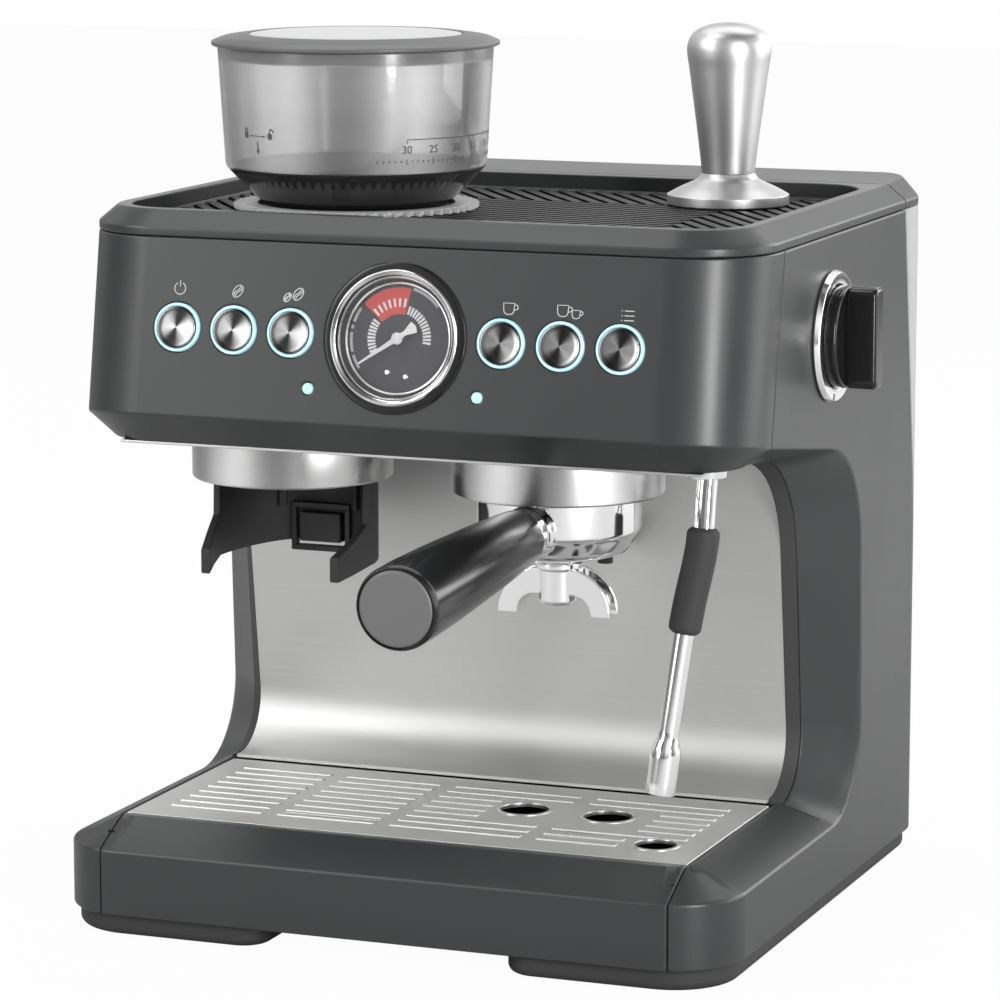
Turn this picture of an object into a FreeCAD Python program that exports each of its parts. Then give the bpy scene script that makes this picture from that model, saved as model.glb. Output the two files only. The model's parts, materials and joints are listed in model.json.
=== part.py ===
"""Countertop espresso machine with a built-in grinder, as a parametric document in millimetres.

The origin is the floor point below the middle of the base. X runs to the right of someone who stands in
front of the machine, Y runs to its back and Z runs up.
"""
import FreeCAD
import Part
import Sketcher
import math
import os
from types import SimpleNamespace

Vector = FreeCAD.Vector
Rotation = FreeCAD.Rotation

# Driving dimensions, one row of the sheet each
SIZES = {
    # Body
    "body_width": 326.0,
    "body_depth": 314.0,
    "foot_height": 9.5,
    "foot_length": 102.0,
    "foot_inset": 3.0,
    "foot_corner": 14.0,
    "foot_edge": 4.0,
    "base_edge_level": 40.0,
    "tray_level": 51.6,
    "base_corner": 34.0,
    "rear_corner": 24.0,
    "side_depth": 22.5,
    "side_wall": 3.0,
    "tray_half_width": 137.3,
    "pan_floor": 4.0,
    "gap": 0.3,
    "sheet_metal": 3.0,
    # Head
    "head_level": 222.0,
    "panel_edge_level": 240.0,
    "seam_level": 319.3,
    "panel_back": 18.0,
    "panel_run": 13.9,
    "panel_wall": 3.0,
    "head_corner": 40.0,
    "head_bevel": 17.0,
    "head_bevel_side": 12.0,
    "seam_back_low": 64.2,
    "seam_back_top": 80.4,
    # Side opening, its outer edge and the backplate that its inner edge follows
    "opening_back_low": 207.5,
    "opening_back_top": 203.0,
    "opening_top_level": 213.0,
    "opening_front_level": 242.7,
    "opening_curve_low": 42.0,
    "opening_curve_top": 55.0,
    "plate_back_low": 179.3,
    "plate_back_top": 141.5,
    "plate_curve": 23.0,
    "plate_curve_top": 55.0,
    "plate_sheet": 1.5,
    "plate_lip_rise": 2.2,
    "plate_lip": 1.0,
    # Cap, cup tray and tank
    "cap_lip": 3.8,
    "cap_bevel": 9.0,
    "cap_height": 11.4,
    "cup_tray_depth": 7.6,
    "cup_tray_rim": 15.0,
    "cup_tray_rear_rim": 8.0,
    "tank_depth_top": 42.4,
    "tank_depth_bend": 8.5,
    "tank_bend_level": 92.0,
    "tank_low_level": 77.5,
    "tank_wall": 2.5,
    # Drip tray
    "tray_front_depth": 29.0,
    "tray_wall": 2.5,
    "drip_plate_sheet": 1.5,
    "rib_height": 0.8,
    "rib_width": 4.0,
    "rib_pitch": 10.2,
    "rib_back": 49.4,
    "rib_outer": 123.0,
    "rib_gap": 8.0,
    "rib_split_left": -73.2,
    "rib_split_middle": -17.2,
    "rib_split_right": 54.3,
    "rib_clear": 22.0,
    "slot_width": 3.0,
    "drain_hole_radius": 11.5,
    "drain_hole_back": 99.5,
    "small_hole_radius": 9.6,
    "small_hole_x": 112.5,
    "small_hole_back": 57.0,
    # Group and portafilter
    "group_x": 54.0,
    "group_back": 88.0,
    "collar_drop": 17.5,
    "group_collar_radius": 48.5,
    "group_radius": 45.0,
    "group_lip": 1.0,
    "group_flange": 49.5,
    "boiler_radius": 40.0,
    "boiler_height": 34.0,
    "bowl_radius": 38.0,
    "bowl_height": 39.0,
    "bowl_floor": 4.0,
    "ear_length": 3.0,
    "ear_height": 2.4,
    "ear_span": 50.0,
    "lock_turn": 45.0,
    "entry_room": 8.0,
    "lock_ring": 2.5,
    "basket_radius": 29.0,
    "basket_sheet": 0.8,
    "basket_depth": 25.0,
    "basket_rim": 36.0,
    "gasket_radius": 30.5,
    "spout_reach": 20.5,
    "spout_radius": 6.5,
    "spout_drop": 23.8,
    "spout_rise": 21.5,
    "spout_arm": 9.0,
    "spout_depth": 12.0,
    "spout_wall": 2.0,
    "spout_neck": 8.5,
    "handle_drop": 19.7,
    "handle_length": 145.0,
    "handle_radius": 18.5,
    "handle_neck": 11.5,
    "boss_radius": 8.5,
    "boss_reach": 50.0,
    # Grinder
    "grinder_x": -77.5,
    "grinder_collar_radius": 46.7,
    "grinder_collar_wall": 6.8,
    "chute_radius": 22.0,
    "chute_wall": 5.0,
    "cradle_wall": 3.0,
    "cradle_drop": 58.0,
    "cradle_arm_reach": 28.0,
    "cradle_arm_width": 6.0,
    "cradle_arm_height": 10.0,
    "cradle_hook_drop": 5.0,
    "switch_width": 21.0,
    "switch_height": 14.0,
    "switch_depth": 9.0,
    "hopper_x": -71.5,
    "hopper_back": 151.0,
    "hopper_radius": 65.0,
    "hopper_waist_radius": 61.5,
    "hopper_cone_radius": 44.0,
    "hopper_neck_radius": 39.0,
    "hopper_wall": 2.5,
    "hopper_height": 72.0,
    "hopper_cone_height": 17.2,
    "hopper_neck_depth": 20.0,
    "lid_radius": 68.0,
    "lid_edge": 2.2,
    "lid_dome": 3.6,
    "lid_plug": 6.0,
    "adjust_radius": 58.0,
    "adjust_height": 3.6,
    "burr_height": 6.0,
    "burr_bore": 20.0,
    "burr_gap": 1.2,
    "shaft_radius": 4.0,
    "chamber_radius": 48.0,
    "chamber_depth": 26.0,
    "motor_radius": 36.0,
    # Controls on the front
    "control_level": 279.5,
    "button_first": 50.4,
    "button_pitch": 27.8,
    "button_radius": 8.6,
    "button_ring_radius": 11.0,
    "button_rise": 3.0,
    "button_stroke": 1.5,
    "light_x": 40.5,
    "light_level": 255.5,
    "light_radius": 2.5,
    "gauge_radius": 34.0,
    "gauge_rise": 1.2,
    "gauge_floor": 7.0,
    "gauge_body_radius": 31.0,
    "gauge_depth": 20.0,
    "gauge_ring_radius": 30.5,
    "gauge_ring_width": 2.6,
    "dial_sheet": 1.0,
    "needle_length": 19.0,
    "needle_sheet": 0.8,
    "board_width": 250.0,
    "board_height": 46.0,
    "board_sheet": 1.6,
    # Steam side
    "knob_back": 151.6,
    "knob_level": 272.7,
    "escutcheon_radius": 30.5,
    "escutcheon_rise": 3.5,
    "knob_radius": 23.6,
    "knob_rise": 9.0,
    "grip_rise": 14.0,
    "grip_width": 13.0,
    "valve_radius": 14.0,
    "valve_length": 46.0,
    "wand_x": 124.0,
    "wand_back": 90.0,
    "wand_ball_radius": 9.0,
    "wand_ball_drop": 9.8,
    "wand_collar_radius": 14.5,
    "wand_lean_left": 16.0,
    "wand_lean_front": 14.7,
    "wand_drop": 141.2,
    "wand_radius": 5.2,
    "sleeve_start": 21.0,
    "sleeve_length": 48.0,
    "sleeve_radius": 7.6,
    "nozzle_length": 22.0,
    "nozzle_radius": 7.2,
    "outlet_x": 58.5,
    "outlet_level": 172.0,
    "outlet_length": 17.0,
    "outlet_radius": 4.5,
    # Inside the base, and the rear
    "upright_x": 120.0,
    "upright_back": 190.0,
    "upright_depth": 70.0,
    "pump_back": 227.0,
    "pump_level": 46.0,
    "pump_radius": 20.0,
    "pump_length": 130.0,
    "hose_radius": 4.0,
    "hose_level": 245.0,
    "hose_bend": 20.0,
    "inlet_x": -96.0,
    "inlet_level": 42.0,
    "inlet_width": 28.0,
    "inlet_height": 20.0,
    "inlet_depth": 16.0,
    "inlet_rim": 3.0,
    "screw_inset": 12.3,
    "screw_low": 22.0,
    "screw_high": 62.0,
    "screw_head_radius": 3.5,
    "screw_radius": 1.8,
    "screw_length": 9.0,
    # Tamper
    "tamper_x": 89.5,
    "tamper_to_lid": 49.1,
    "tamper_radius": 29.0,
    "tamper_foot": 6.0,
    "tamper_neck": 12.5,
    "tamper_grip": 20.0,
    "tamper_height": 86.0,
}

doc = FreeCAD.newDocument("EspressoMachine")
sheet = doc.addObject("Spreadsheet::Sheet", "Sizes")
for row, (alias, number) in enumerate(SIZES.items(), start=1):
    sheet.set(f"A{row}", alias)
    sheet.set(f"B{row}", str(number))
    sheet.setAlias(f"B{row}", alias)
doc.recompute()


class Dim:
    """A length with its value now and the sheet expression that gives it."""

    def __init__(self, value, text):
        self.value = float(value)
        self.text = text

    def __float__(self):
        return self.value

    def __neg__(self):
        return Dim(-self.value, f"(0 - {self.text})")

    def __add__(self, other):
        return Dim(self.value + float(other), f"({self.text} + {text_of(other)})")

    def __radd__(self, other):
        return self + other

    def __sub__(self, other):
        return Dim(self.value - float(other), f"({self.text} - {text_of(other)})")

    def __rsub__(self, other):
        return Dim(float(other) - self.value, f"({text_of(other)} - {self.text})")

    def __mul__(self, other):
        return Dim(self.value * float(other), f"({self.text} * {text_of(other)})")

    def __rmul__(self, other):
        return self * other

    def __truediv__(self, other):
        return Dim(self.value / float(other), f"({self.text} / {text_of(other)})")


def text_of(number):
    """The expression text of a Dim or of a plain number."""
    if isinstance(number, Dim):
        return number.text
    return f"{float(number)}"


def root(dim):
    """The square root of a Dim."""
    return Dim(math.sqrt(dim.value), f"sqrt({dim.text})")


def least(one, other):
    """The smaller of two Dims."""
    return Dim(min(one.value, other.value), f"min({one.text}; {other.text})")


d = SimpleNamespace(**{alias: Dim(sheet.get(alias), f"Sizes.{alias}") for alias in SIZES})
nodes = []

# Planes and axes that several pieces share
half = d.body_width / 2
front = -(d.body_depth / 2)
rear = d.body_depth / 2
inner = half - d.side_depth
pan_top = d.foot_height + d.pan_floor
panel_rise = d.seam_level - d.panel_edge_level
panel_length = root(d.panel_run * d.panel_run + panel_rise * panel_rise)
under_top = d.head_level + d.sheet_metal
deck_top = under_top + d.sheet_metal
cap_low = d.seam_level + d.gap
cap_top = cap_low + d.cap_height
cup_level = cap_top - d.cup_tray_depth
lid_front = rear - d.tank_depth_top
collar_low = d.head_level - d.collar_drop
handle_level = collar_low - d.handle_drop
group_y = front + d.group_back
hopper_y = front + d.hopper_back
knob_y = front + d.knob_back
wand_y = front + d.wand_back
ball_level = d.head_level - d.wand_ball_drop
edge_fall = (d.opening_front_level - d.opening_top_level) / d.opening_back_top
plate_lean = (d.plate_back_low - d.plate_back_top) / (d.head_level - d.tray_level)
plate_reach = (d.plate_curve + d.plate_sheet) * (plate_lean + root(1 + plate_lean * plate_lean))
tray_back = front + d.plate_back_low - plate_reach - d.plate_lip
group_hole = d.group_radius + d.gap
chute_hole = d.chute_radius + d.gap
hose_x = d.group_x
pump_y = front + d.pump_back
TO_FRONT = Rotation(Vector(1, 0, 0), 90)
TO_RIGHT = Rotation(Vector(0, 1, 0), 90)
FULL_TURN = 360.0
NEEDLE_REST = math.radians(214.0)


def bind(thing, prop, dim):
    """Set a property of an object from a length of the sheet."""
    thing.setExpression(prop, text_of(dim))


def place(thing, x, y, z, turn=None):
    """Put an object at a point, with a fixed turn if one is given."""
    if turn is not None:
        thing.Placement = FreeCAD.Placement(Vector(), turn)
    for axis, dim in zip("xyz", (x, y, z)):
        bind(thing, f"Placement.Base.{axis}", dim)
    return thing


def panel_point(x, level, out=0.0):
    """The point of the leaning front panel at a height, moved out along its normal."""
    y = front + d.panel_back + (level - d.panel_edge_level) * d.panel_run / panel_rise
    return x, y - panel_rise / panel_length * out, level + d.panel_run / panel_length * out


def on_panel(thing, x, level, out=0.0):
    """Put an object on the front panel with its own Z axis along the panel's normal."""
    place(thing, *panel_point(x, level, out), Rotation(Vector(1, 0, 0), 80))
    lean = f"90 deg - atan({d.panel_run.text} / {panel_rise.text})"
    thing.setExpression("Placement.Rotation.Angle", lean)
    return thing


def node(thing, name):
    """Name an object as one piece of the machine."""
    thing.Label = name
    nodes.append(thing)
    return thing


def box(name, corner, spans):
    """A block from its lowest corner and its three lengths."""
    block = doc.addObject("Part::Box", name)
    for prop, span in zip(("Length", "Width", "Height"), spans):
        bind(block, prop, span)
    return place(block, *corner)


def cylinder(name, radius, height, spot, turn=None, angle=FULL_TURN):
    """A round bar, or a wedge of one, that starts at a point."""
    bar = doc.addObject("Part::Cylinder", name)
    bind(bar, "Radius", radius)
    bind(bar, "Height", height)
    bind(bar, "Angle", angle)
    return place(bar, *spot, turn)


def cut(name, base, *tools):
    """One object with others taken away."""
    result = doc.addObject("Part::Cut", name)
    result.Base = base
    result.Tool = tools[0] if len(tools) == 1 else group(f"{name}_tools", *tools)
    return result


def fuse(name, *pieces):
    """Objects joined into one solid."""
    result = doc.addObject("Part::MultiFuse", name)
    result.Shapes = list(pieces)
    return result


def group(name, *pieces):
    """Separate solids kept together under one name."""
    result = doc.addObject("Part::Compound", name)
    result.Links = list(pieces)
    return result


def outline(body, role, points):
    """A closed sketch of straight lines on one of the body's planes, each corner bound to the sheet."""
    sketch = body.newObject("Sketcher::SketchObject", f"{body.Name}_outline")
    support = next(plane for plane in body.Origin.OriginFeatures if plane.Role == role)
    sketch.AttachmentSupport = [(support, "")]
    sketch.MapMode = "FlatFace"
    corners = [Vector(float(a), float(b), 0) for a, b in points]
    for index, corner in enumerate(corners):
        sketch.addGeometry(Part.LineSegment(corner, corners[(index + 1) % len(corners)]))
    for index in range(len(corners)):
        follower = (index + 1) % len(corners)
        sketch.addConstraint(Sketcher.Constraint("Coincident", index, 2, follower, 1))
    for index, point in enumerate(points):
        for kind, dim in zip(("DistanceX", "DistanceY"), point):
            spot = sketch.addConstraint(Sketcher.Constraint(kind, -1, 1, index, 1, float(dim)))
            sketch.setExpression(f"Constraints[{spot}]", text_of(dim))
    return sketch


def turned(name, points):
    """A body turned about its own Z axis from points of radius and height."""
    body = doc.addObject("PartDesign::Body", name)
    sketch = outline(body, "XZ_Plane", points)
    turn = body.newObject("PartDesign::Revolution", f"{name}_turn")
    turn.Profile = sketch
    turn.ReferenceAxis = (sketch, ["V_Axis"])
    turn.Angle = FULL_TURN
    return body


def slab(name, role, points, thickness):
    """A body padded from a flat outline along its plane's normal."""
    body = doc.addObject("PartDesign::Body", name)
    pad = body.newObject("PartDesign::Pad", f"{name}_pad")
    pad.Profile = outline(body, role, points)
    bind(pad, "Length", thickness)
    body.Tip = pad
    return body


def shaped(name, shape):
    """An object that holds a shape worked out from the sheet's sizes."""
    thing = doc.addObject("Part::Feature", name)
    thing.Shape = shape
    return thing


def rounded(points, lift):
    """A closed wire through corners (a, b, radius), each put in space by lift."""
    edges = []
    ends = []
    count = len(points)
    flat = [(Vector(float(a), float(b), 0), float(r)) for a, b, r in points]
    for index, (corner, radius) in enumerate(flat):
        back = (flat[index - 1][0] - corner).normalize()
        ahead = (flat[(index + 1) % count][0] - corner).normalize()
        if radius <= 0:
            ends.append((corner, corner, corner))
            continue
        half_angle = back.getAngle(ahead) / 2
        middle = (back + ahead).normalize()
        reach = radius / math.tan(half_angle)
        crown = corner + middle * (radius / math.sin(half_angle) - radius)
        ends.append((corner + back * reach, crown, corner + ahead * reach))
    for index, (start, crown, stop) in enumerate(ends):
        if start != stop:
            edges.append(Part.Arc(lift(start), lift(crown), lift(stop)).toShape())
        following = ends[(index + 1) % count][0]
        edges.append(Part.LineSegment(lift(stop), lift(following)).toShape())
    return Part.Wire(edges)


def plan(level, half_span, low, high, low_corner, high_corner, fall=0.0):
    """A flat outline from above with rounded corners; fall is how much it sinks on its way to the back."""
    corners = [
        (-float(half_span), high, high_corner),
        (-float(half_span), low, low_corner),
        (half_span, low, low_corner),
        (half_span, high, high_corner),
    ]
    return rounded(corners, lambda p: Vector(p.x, p.y, float(level) - float(fall) * (p.y - float(low))))


def side_wire(x, points):
    """A flat outline seen from the side at one place across the width."""
    return rounded(points, lambda p: Vector(float(x), p.x, p.y))


def across(points, start, stop):
    """A prism of a side outline between two places across the width."""
    face = Part.Face(side_wire(start, points))
    return face.extrude(Vector(float(stop) - float(start), 0, 0))


def loft(*wires):
    """A solid with straight flanks through flat outlines."""
    return Part.makeLoft(list(wires), True, True)


def between(low, high, share):
    """A length on the way from one size to another."""
    return float(low) + (float(high) - float(low)) * share


def block_between(low, high):
    """A plain block from two opposite corners."""
    spans = [float(b) - float(a) for a, b in zip(low, high)]
    return Part.makeBox(*spans, Vector(*(float(a) for a in low)))


def base_block():
    """The whole lower body: rounded front corners and a bevel round its top."""
    lower = [plan(level, half, front, rear, d.base_corner, 0) for level in (d.foot_height, d.base_edge_level)]
    corner = d.base_corner - d.side_depth
    return loft(*lower, plan(d.tray_level, inner, front + d.side_depth, rear, corner, 0))


def opening(share):
    """The side opening's outline, from the backplate (0) to the outer face (1)."""
    ahead = float(front) - d.body_depth.value / 2
    low = between(d.tray_level, d.base_edge_level, share)
    foot = between(front + d.plate_back_low, front + d.opening_back_low, share)
    top = between(front + d.plate_back_top, front + d.opening_back_top, share)
    top_level = between(d.head_level, d.opening_top_level, share)
    front_level = between(d.head_level, d.opening_front_level, share)
    fall = (front_level - top_level) / (top - float(front)) * (float(front) - ahead)
    points = [
        (ahead, low, 0),
        (foot, low, between(d.plate_curve, d.opening_curve_low, share)),
        (top, top_level, between(d.plate_curve_top, d.opening_curve_top, share)),
        (ahead, front_level + fall, 0),
    ]
    return side_wire(between(inner, half, share), points)


def seam_y(level):
    """Where the side seam of the front panel lies at a height."""
    lean = (d.seam_back_top - d.seam_back_low) / panel_rise
    return front + d.seam_back_low + (level - d.panel_edge_level) * lean


def side_shape():
    """The right side panel: a hollow C whose lower leg turns round the front corner."""
    neck = d.head_level - d.collar_drop
    points = [
        (seam_y(neck) + d.gap, d.base_edge_level, 0),
        (rear, d.base_edge_level, 0),
        (rear, d.tank_low_level, 0),
        (rear - d.tank_depth_bend, d.tank_bend_level, 0),
        (lid_front, d.seam_level, 0),
        (seam_y(d.seam_level) + d.gap, d.seam_level, 0),
        (seam_y(neck) + d.gap, neck, 0),
    ]
    panel = across(points, inner, half)
    leg_box = block_between((d.tray_half_width, front, 0), (half, rear, d.tray_level))
    panel = panel.fuse(base_block().common(leg_box))
    panel = panel.cut(loft(opening(-0.3), opening(1.3)))
    hollow_back = lid_front - d.side_wall
    column_front = front + d.opening_back_low + d.side_wall
    hollow_top = d.seam_level - d.side_wall
    hollow_side = half - d.side_wall
    head_front = seam_y(d.seam_level) + d.side_wall
    head_low = d.panel_edge_level + d.side_wall
    panel = panel.cut(block_between((0, column_front, d.tray_level), (hollow_side, hollow_back, hollow_top)))
    panel = panel.cut(block_between((0, head_front, head_low), (hollow_side, hollow_back, hollow_top)))
    round_off = Part.Face(plan(0, half, front, rear, 0, d.rear_corner)).extrude(Vector(0, 0, cap_top.value))
    return panel.common(round_off).removeSplitter()


def make_sides():
    """Both side panels; the right one has the hole of the steam knob's shaft."""
    left = side_shape().mirror(Vector(), Vector(1, 0, 0))
    node(shaped("LeftSide", left), "left_side_panel")
    bore = Part.makeCylinder(
        float(d.shaft_radius + d.gap),
        d.side_depth.value,
        Vector(inner.value, knob_y.value, d.knob_level.value),
        Vector(1, 0, 0),
    )
    node(shaped("RightSide", side_shape().cut(bore)), "right_side_panel")


def foot_rail():
    """The long foot under the right side, with rounded corners and a rounded lower edge."""
    side = half - d.foot_inset
    low = front + d.foot_inset
    high = rear - d.foot_inset
    corners = [
        (side - d.foot_length, low, d.foot_corner),
        (side, low, d.base_corner - d.foot_inset),
        (side, high, d.rear_corner - d.foot_inset),
        (side - d.foot_length, high, d.foot_corner),
    ]
    sole = Part.Face(rounded(corners, lambda p: Vector(p.x, p.y, 0)))
    rail = sole.extrude(Vector(0, 0, d.foot_height.value))
    edges = [edge for edge in rail.Edges if edge.BoundBox.ZMax < d.foot_edge.value]
    return rail.makeFillet(d.foot_edge.value, edges)


def make_base():
    """Base pan with the wall behind the drip tray, and the two long feet."""
    pan_front = front + d.tray_front_depth + d.gap
    span = d.tray_half_width * 2
    depth = rear - d.sheet_metal - d.gap - pan_front
    floor = box("PanFloor", (-d.tray_half_width, pan_front, d.foot_height), (span, depth, d.pan_floor))
    wall_low = (-d.tray_half_width, tray_back + d.gap, pan_top)
    wall = box("PanWall", wall_low, (span, d.tray_wall, d.tray_level - pan_top - d.tray_wall))
    node(fuse("BasePan", floor, wall), "base_pan")
    right = foot_rail()
    left = right.mirror(Vector(), Vector(1, 0, 0))
    node(group("Feet", shaped("FootLeft", left), shaped("FootRight", right)), "rubber_feet")


def panel_loft(wall, rear_shift):
    """The front panel's outer or inner form: two leaning stretches with rounded corners."""
    wires = []
    rows = (
        (under_top, d.head_bevel, d.head_bevel_side, d.head_corner - d.head_bevel, 0.0),
        (d.panel_edge_level, 0, 0, d.head_corner, edge_fall),
        (d.seam_level, d.panel_run, 0, d.head_corner, 0.0),
    )
    for level, back, inset, radius, fall in rows:
        low = front + d.panel_back + back + wall
        corner = radius - wall
        back_line = seam_y(level - fall * (seam_y(level) - low)) + rear_shift
        wires.append(plan(level, half - inset - wall, low, back_line, corner, 0, fall))
    return loft(*wires)


def panel_bore(x, level, radius):
    """A round cutter through the front panel along its normal."""
    start = Vector(*(float(value) for value in panel_point(x, level, d.gauge_depth)))
    stop = Vector(*(float(value) for value in panel_point(x, level, -d.gauge_depth)))
    return Part.makeCylinder(float(radius), (stop - start).Length, start, stop - start)


def button_places():
    """The six places of the buttons across the panel, from left to right."""
    right = [d.button_first + d.button_pitch * step for step in range(3)]
    return [-x for x in reversed(right)] + right


def make_front():
    """The front panel with its holes for the buttons, the lights and the gauge."""
    panel = panel_loft(0, 0).cut(panel_loft(d.panel_wall, d.head_corner))
    for x in button_places():
        panel = panel.cut(panel_bore(x, d.control_level, d.button_ring_radius + d.gap))
    for x in (-d.light_x, d.light_x):
        panel = panel.cut(panel_bore(x, d.light_level, d.light_radius + d.gap))
    panel = panel.cut(panel_bore(0, d.control_level, d.gauge_body_radius + d.gap))
    node(shaped("FrontPanel", panel), "front_panel")


def make_cap():
    """The top cap with its sunken cup tray and the hopper's hole."""
    low = front + d.panel_back + d.panel_run
    high = lid_front - d.gap
    bevel = d.cap_bevel
    lip = cap_low + d.cap_lip
    edge = [plan(level, half, low, high, d.head_corner, 0) for level in (cap_low, lip)]
    cap = loft(*edge, plan(cap_top, half - bevel, low + bevel, high, d.head_corner - bevel, 0))
    rim = d.cup_tray_rim
    corner = d.head_corner - rim
    tray = plan(cup_level, half - rim, low + rim, high - d.cup_tray_rear_rim, corner, corner)
    cap = cap.cut(Part.Face(tray).extrude(Vector(0, 0, d.cap_height.value)))
    bore = Part.makeCylinder(
        float(d.hopper_neck_radius + d.gap),
        cap_top.value,
        Vector(d.hopper_x.value, hopper_y.value, 0),
    )
    node(shaped("TopCap", cap.cut(bore)), "top_cap")


def tank_outline(shift, top, low):
    """The tank's wedge from the side, its front moved back by a wall or a gap."""
    return [
        (lid_front + shift, top, 0),
        (rear - d.tank_depth_bend + shift, low, 0),
        (rear, low, 0),
        (rear, top, 0),
    ]


def make_tank():
    """The water tank, a wedge that fills the rear, and the lid that folds up at its rear edge."""
    top = d.seam_level
    outer = tank_outline(d.gap, top, d.tank_bend_level)
    outer[2] = (rear, d.tank_low_level + d.gap * 2, 0)
    shell = across(outer, -half, half)
    around = Part.Face(plan(0, half, front, rear, 0, d.rear_corner))
    shell = shell.common(around.extrude(Vector(0, 0, top.value)))
    room_low = d.tank_bend_level + d.tank_wall
    room_line = tank_outline(d.tank_wall * 2, top + d.tank_wall, room_low)
    room = across(room_line, -half + d.tank_wall, half - d.tank_wall)
    corner = d.rear_corner - d.tank_wall
    keep = Part.Face(plan(0, half - d.tank_wall, front, rear - d.tank_wall, 0, corner))
    room = room.common(keep.extrude(Vector(0, 0, cap_top.value)))
    node(shaped("Tank", shell.cut(room)), "water_tank")
    bevel = d.cap_bevel
    edge = [plan(z, half, lid_front, rear, 0, d.rear_corner) for z in (cap_low, cap_low + d.cap_lip)]
    crown = plan(cap_top, half - bevel, lid_front, rear - bevel, 0, d.rear_corner - bevel)
    node(shaped("TankLid", loft(*edge, crown)), "tank_lid")


def make_rear():
    """The bent rear cover in front of the tank, with the inlet's window and the screw holes."""
    sheet_span = d.sheet_metal
    points = [
        (rear, d.foot_height),
        (rear, d.tank_low_level),
        (rear - d.tank_depth_bend, d.tank_bend_level),
        (lid_front, d.seam_level),
        (lid_front - sheet_span, d.seam_level),
        (rear - d.tank_depth_bend - sheet_span, d.tank_bend_level - sheet_span),
        (rear - sheet_span, d.tank_low_level - sheet_span),
        (rear - sheet_span, d.foot_height),
    ]
    cover = slab("RearSheet", "YZ_Plane", points, (inner - d.gap) * 2)
    place(cover, d.gap - inner, 0, 0)
    window_low = (d.inlet_x - d.gap, rear - d.inlet_depth, d.inlet_level - d.gap)
    window = (d.inlet_width + d.gap * 2, d.inlet_depth * 2, d.inlet_height + d.gap * 2)
    tools = [box("InletWindow", window_low, window)]
    notch = (d.side_depth, d.side_depth, d.tray_level + d.gap)
    leg = d.tray_half_width - d.gap
    for name, x in (("LeftNotch", -leg - d.side_depth), ("RightNotch", leg)):
        tools.append(box(name, (x, rear - d.side_depth, 0), notch))
    screws = []
    for index, (x, level) in enumerate(screw_places()):
        spot = (x, rear + d.screw_length, level)
        hole = (d.screw_radius + d.gap, d.screw_length * 2, spot, TO_FRONT)
        tools.append(cylinder(f"ScrewHole{index}", *hole))
        screws.append(screw(index, x, level))
    node(cut("RearCover", cover, *tools), "rear_cover")
    node(group("Screws", *screws), "case_screws")
    rim = d.inlet_rim
    plug_low = (d.inlet_x, rear + d.gap - d.inlet_depth, d.inlet_level)
    plug = box("InletBody", plug_low, (d.inlet_width, d.inlet_depth, d.inlet_height))
    plate_low = (d.inlet_x - rim, rear + d.gap, d.inlet_level - rim)
    plate = box("InletRim", plate_low, (d.inlet_width + rim * 2, rim / 2, d.inlet_height + rim * 2))
    socket_low = (d.inlet_x + rim, rear - d.inlet_depth + rim, d.inlet_level + rim)
    socket_span = (d.inlet_width - rim * 2, d.inlet_depth * 2, d.inlet_height - rim * 2)
    socket = box("InletSocket", socket_low, socket_span)
    node(cut("Inlet", fuse("InletBlock", plug, plate), socket), "power_inlet")


def screw_places():
    """The four screws of the rear cover, as places across and heights."""
    out = least(inner, d.tray_half_width) - d.screw_inset
    return [(x, level) for x in (-out, out) for level in (d.screw_low, d.screw_high)]


def screw(index, x, level):
    """One screw of the rear cover with its head outside."""
    head = d.screw_head_radius / 2
    profile = [
        (0, -d.screw_length),
        (d.screw_radius, -d.screw_length),
        (d.screw_radius, 0),
        (d.screw_head_radius, 0),
        (d.screw_head_radius, head),
        (0, head),
    ]
    return place(turned(f"Screw{index}", profile), x, rear + d.gap, level, TO_FRONT.inverted())


def make_backplate():
    """The curved steel plate behind the cups, from the head down to the drip tray."""
    lip = d.tray_level + d.plate_lip_rise
    sheet_span = d.plate_sheet
    foot = front + d.plate_back_low - plate_lean * d.plate_lip_rise
    top = front + d.plate_back_top
    end = d.head_level - d.gap
    points = [
        (top, end, 0),
        (foot, lip, d.plate_curve),
        (tray_back, lip, 0),
        (tray_back, lip - sheet_span, 0),
        (foot + sheet_span, lip - sheet_span, d.plate_curve + sheet_span),
        (top + sheet_span, end, 0),
    ]
    edge = inner - d.gap
    node(shaped("Backplate", across(points, -edge, edge)), "backplate")


def make_chassis():
    """The underside plate of the head and the frame that carries it."""
    edge = inner - d.gap
    low = front + d.panel_back + d.head_bevel
    back = front + d.upright_back + d.upright_depth
    tools = [
        cylinder("GroupHole", group_hole, d.seam_level, (d.group_x, group_y, 0)),
        cylinder("ChuteHole", chute_hole, d.seam_level, (d.grinder_x, group_y, 0)),
        cylinder("HoseHole", d.hose_radius + d.gap, d.seam_level, (hose_x, pump_y, 0)),
    ]
    plate_low = (-edge, low, d.head_level)
    plate = box("UnderSheet", plate_low, (edge * 2, front + d.upright_back - low, d.sheet_metal))
    node(cut("UnderPlate", plate, *tools[:2]), "underside_plate")
    deck_low = low + d.head_bevel
    deck = box("Deck", (-edge, deck_low, under_top), (edge * 2, back - deck_low, d.sheet_metal))
    posts = []
    for name, x in (("LeftPost", -d.upright_x), ("RightPost", d.upright_x - d.sheet_metal)):
        foot = (x, front + d.upright_back, pan_top)
        posts.append(box(name, foot, (d.sheet_metal, d.upright_depth, under_top - pan_top)))
    node(cut("Chassis", fuse("Frame", deck, *posts), *tools), "chassis_frame")


def ring(name, outer, bore, height, spot):
    """A plain ring that stands on a point."""
    profile = [(bore, 0), (outer, 0), (outer, height), (bore, height)]
    return place(turned(name, profile), *spot)


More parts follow.
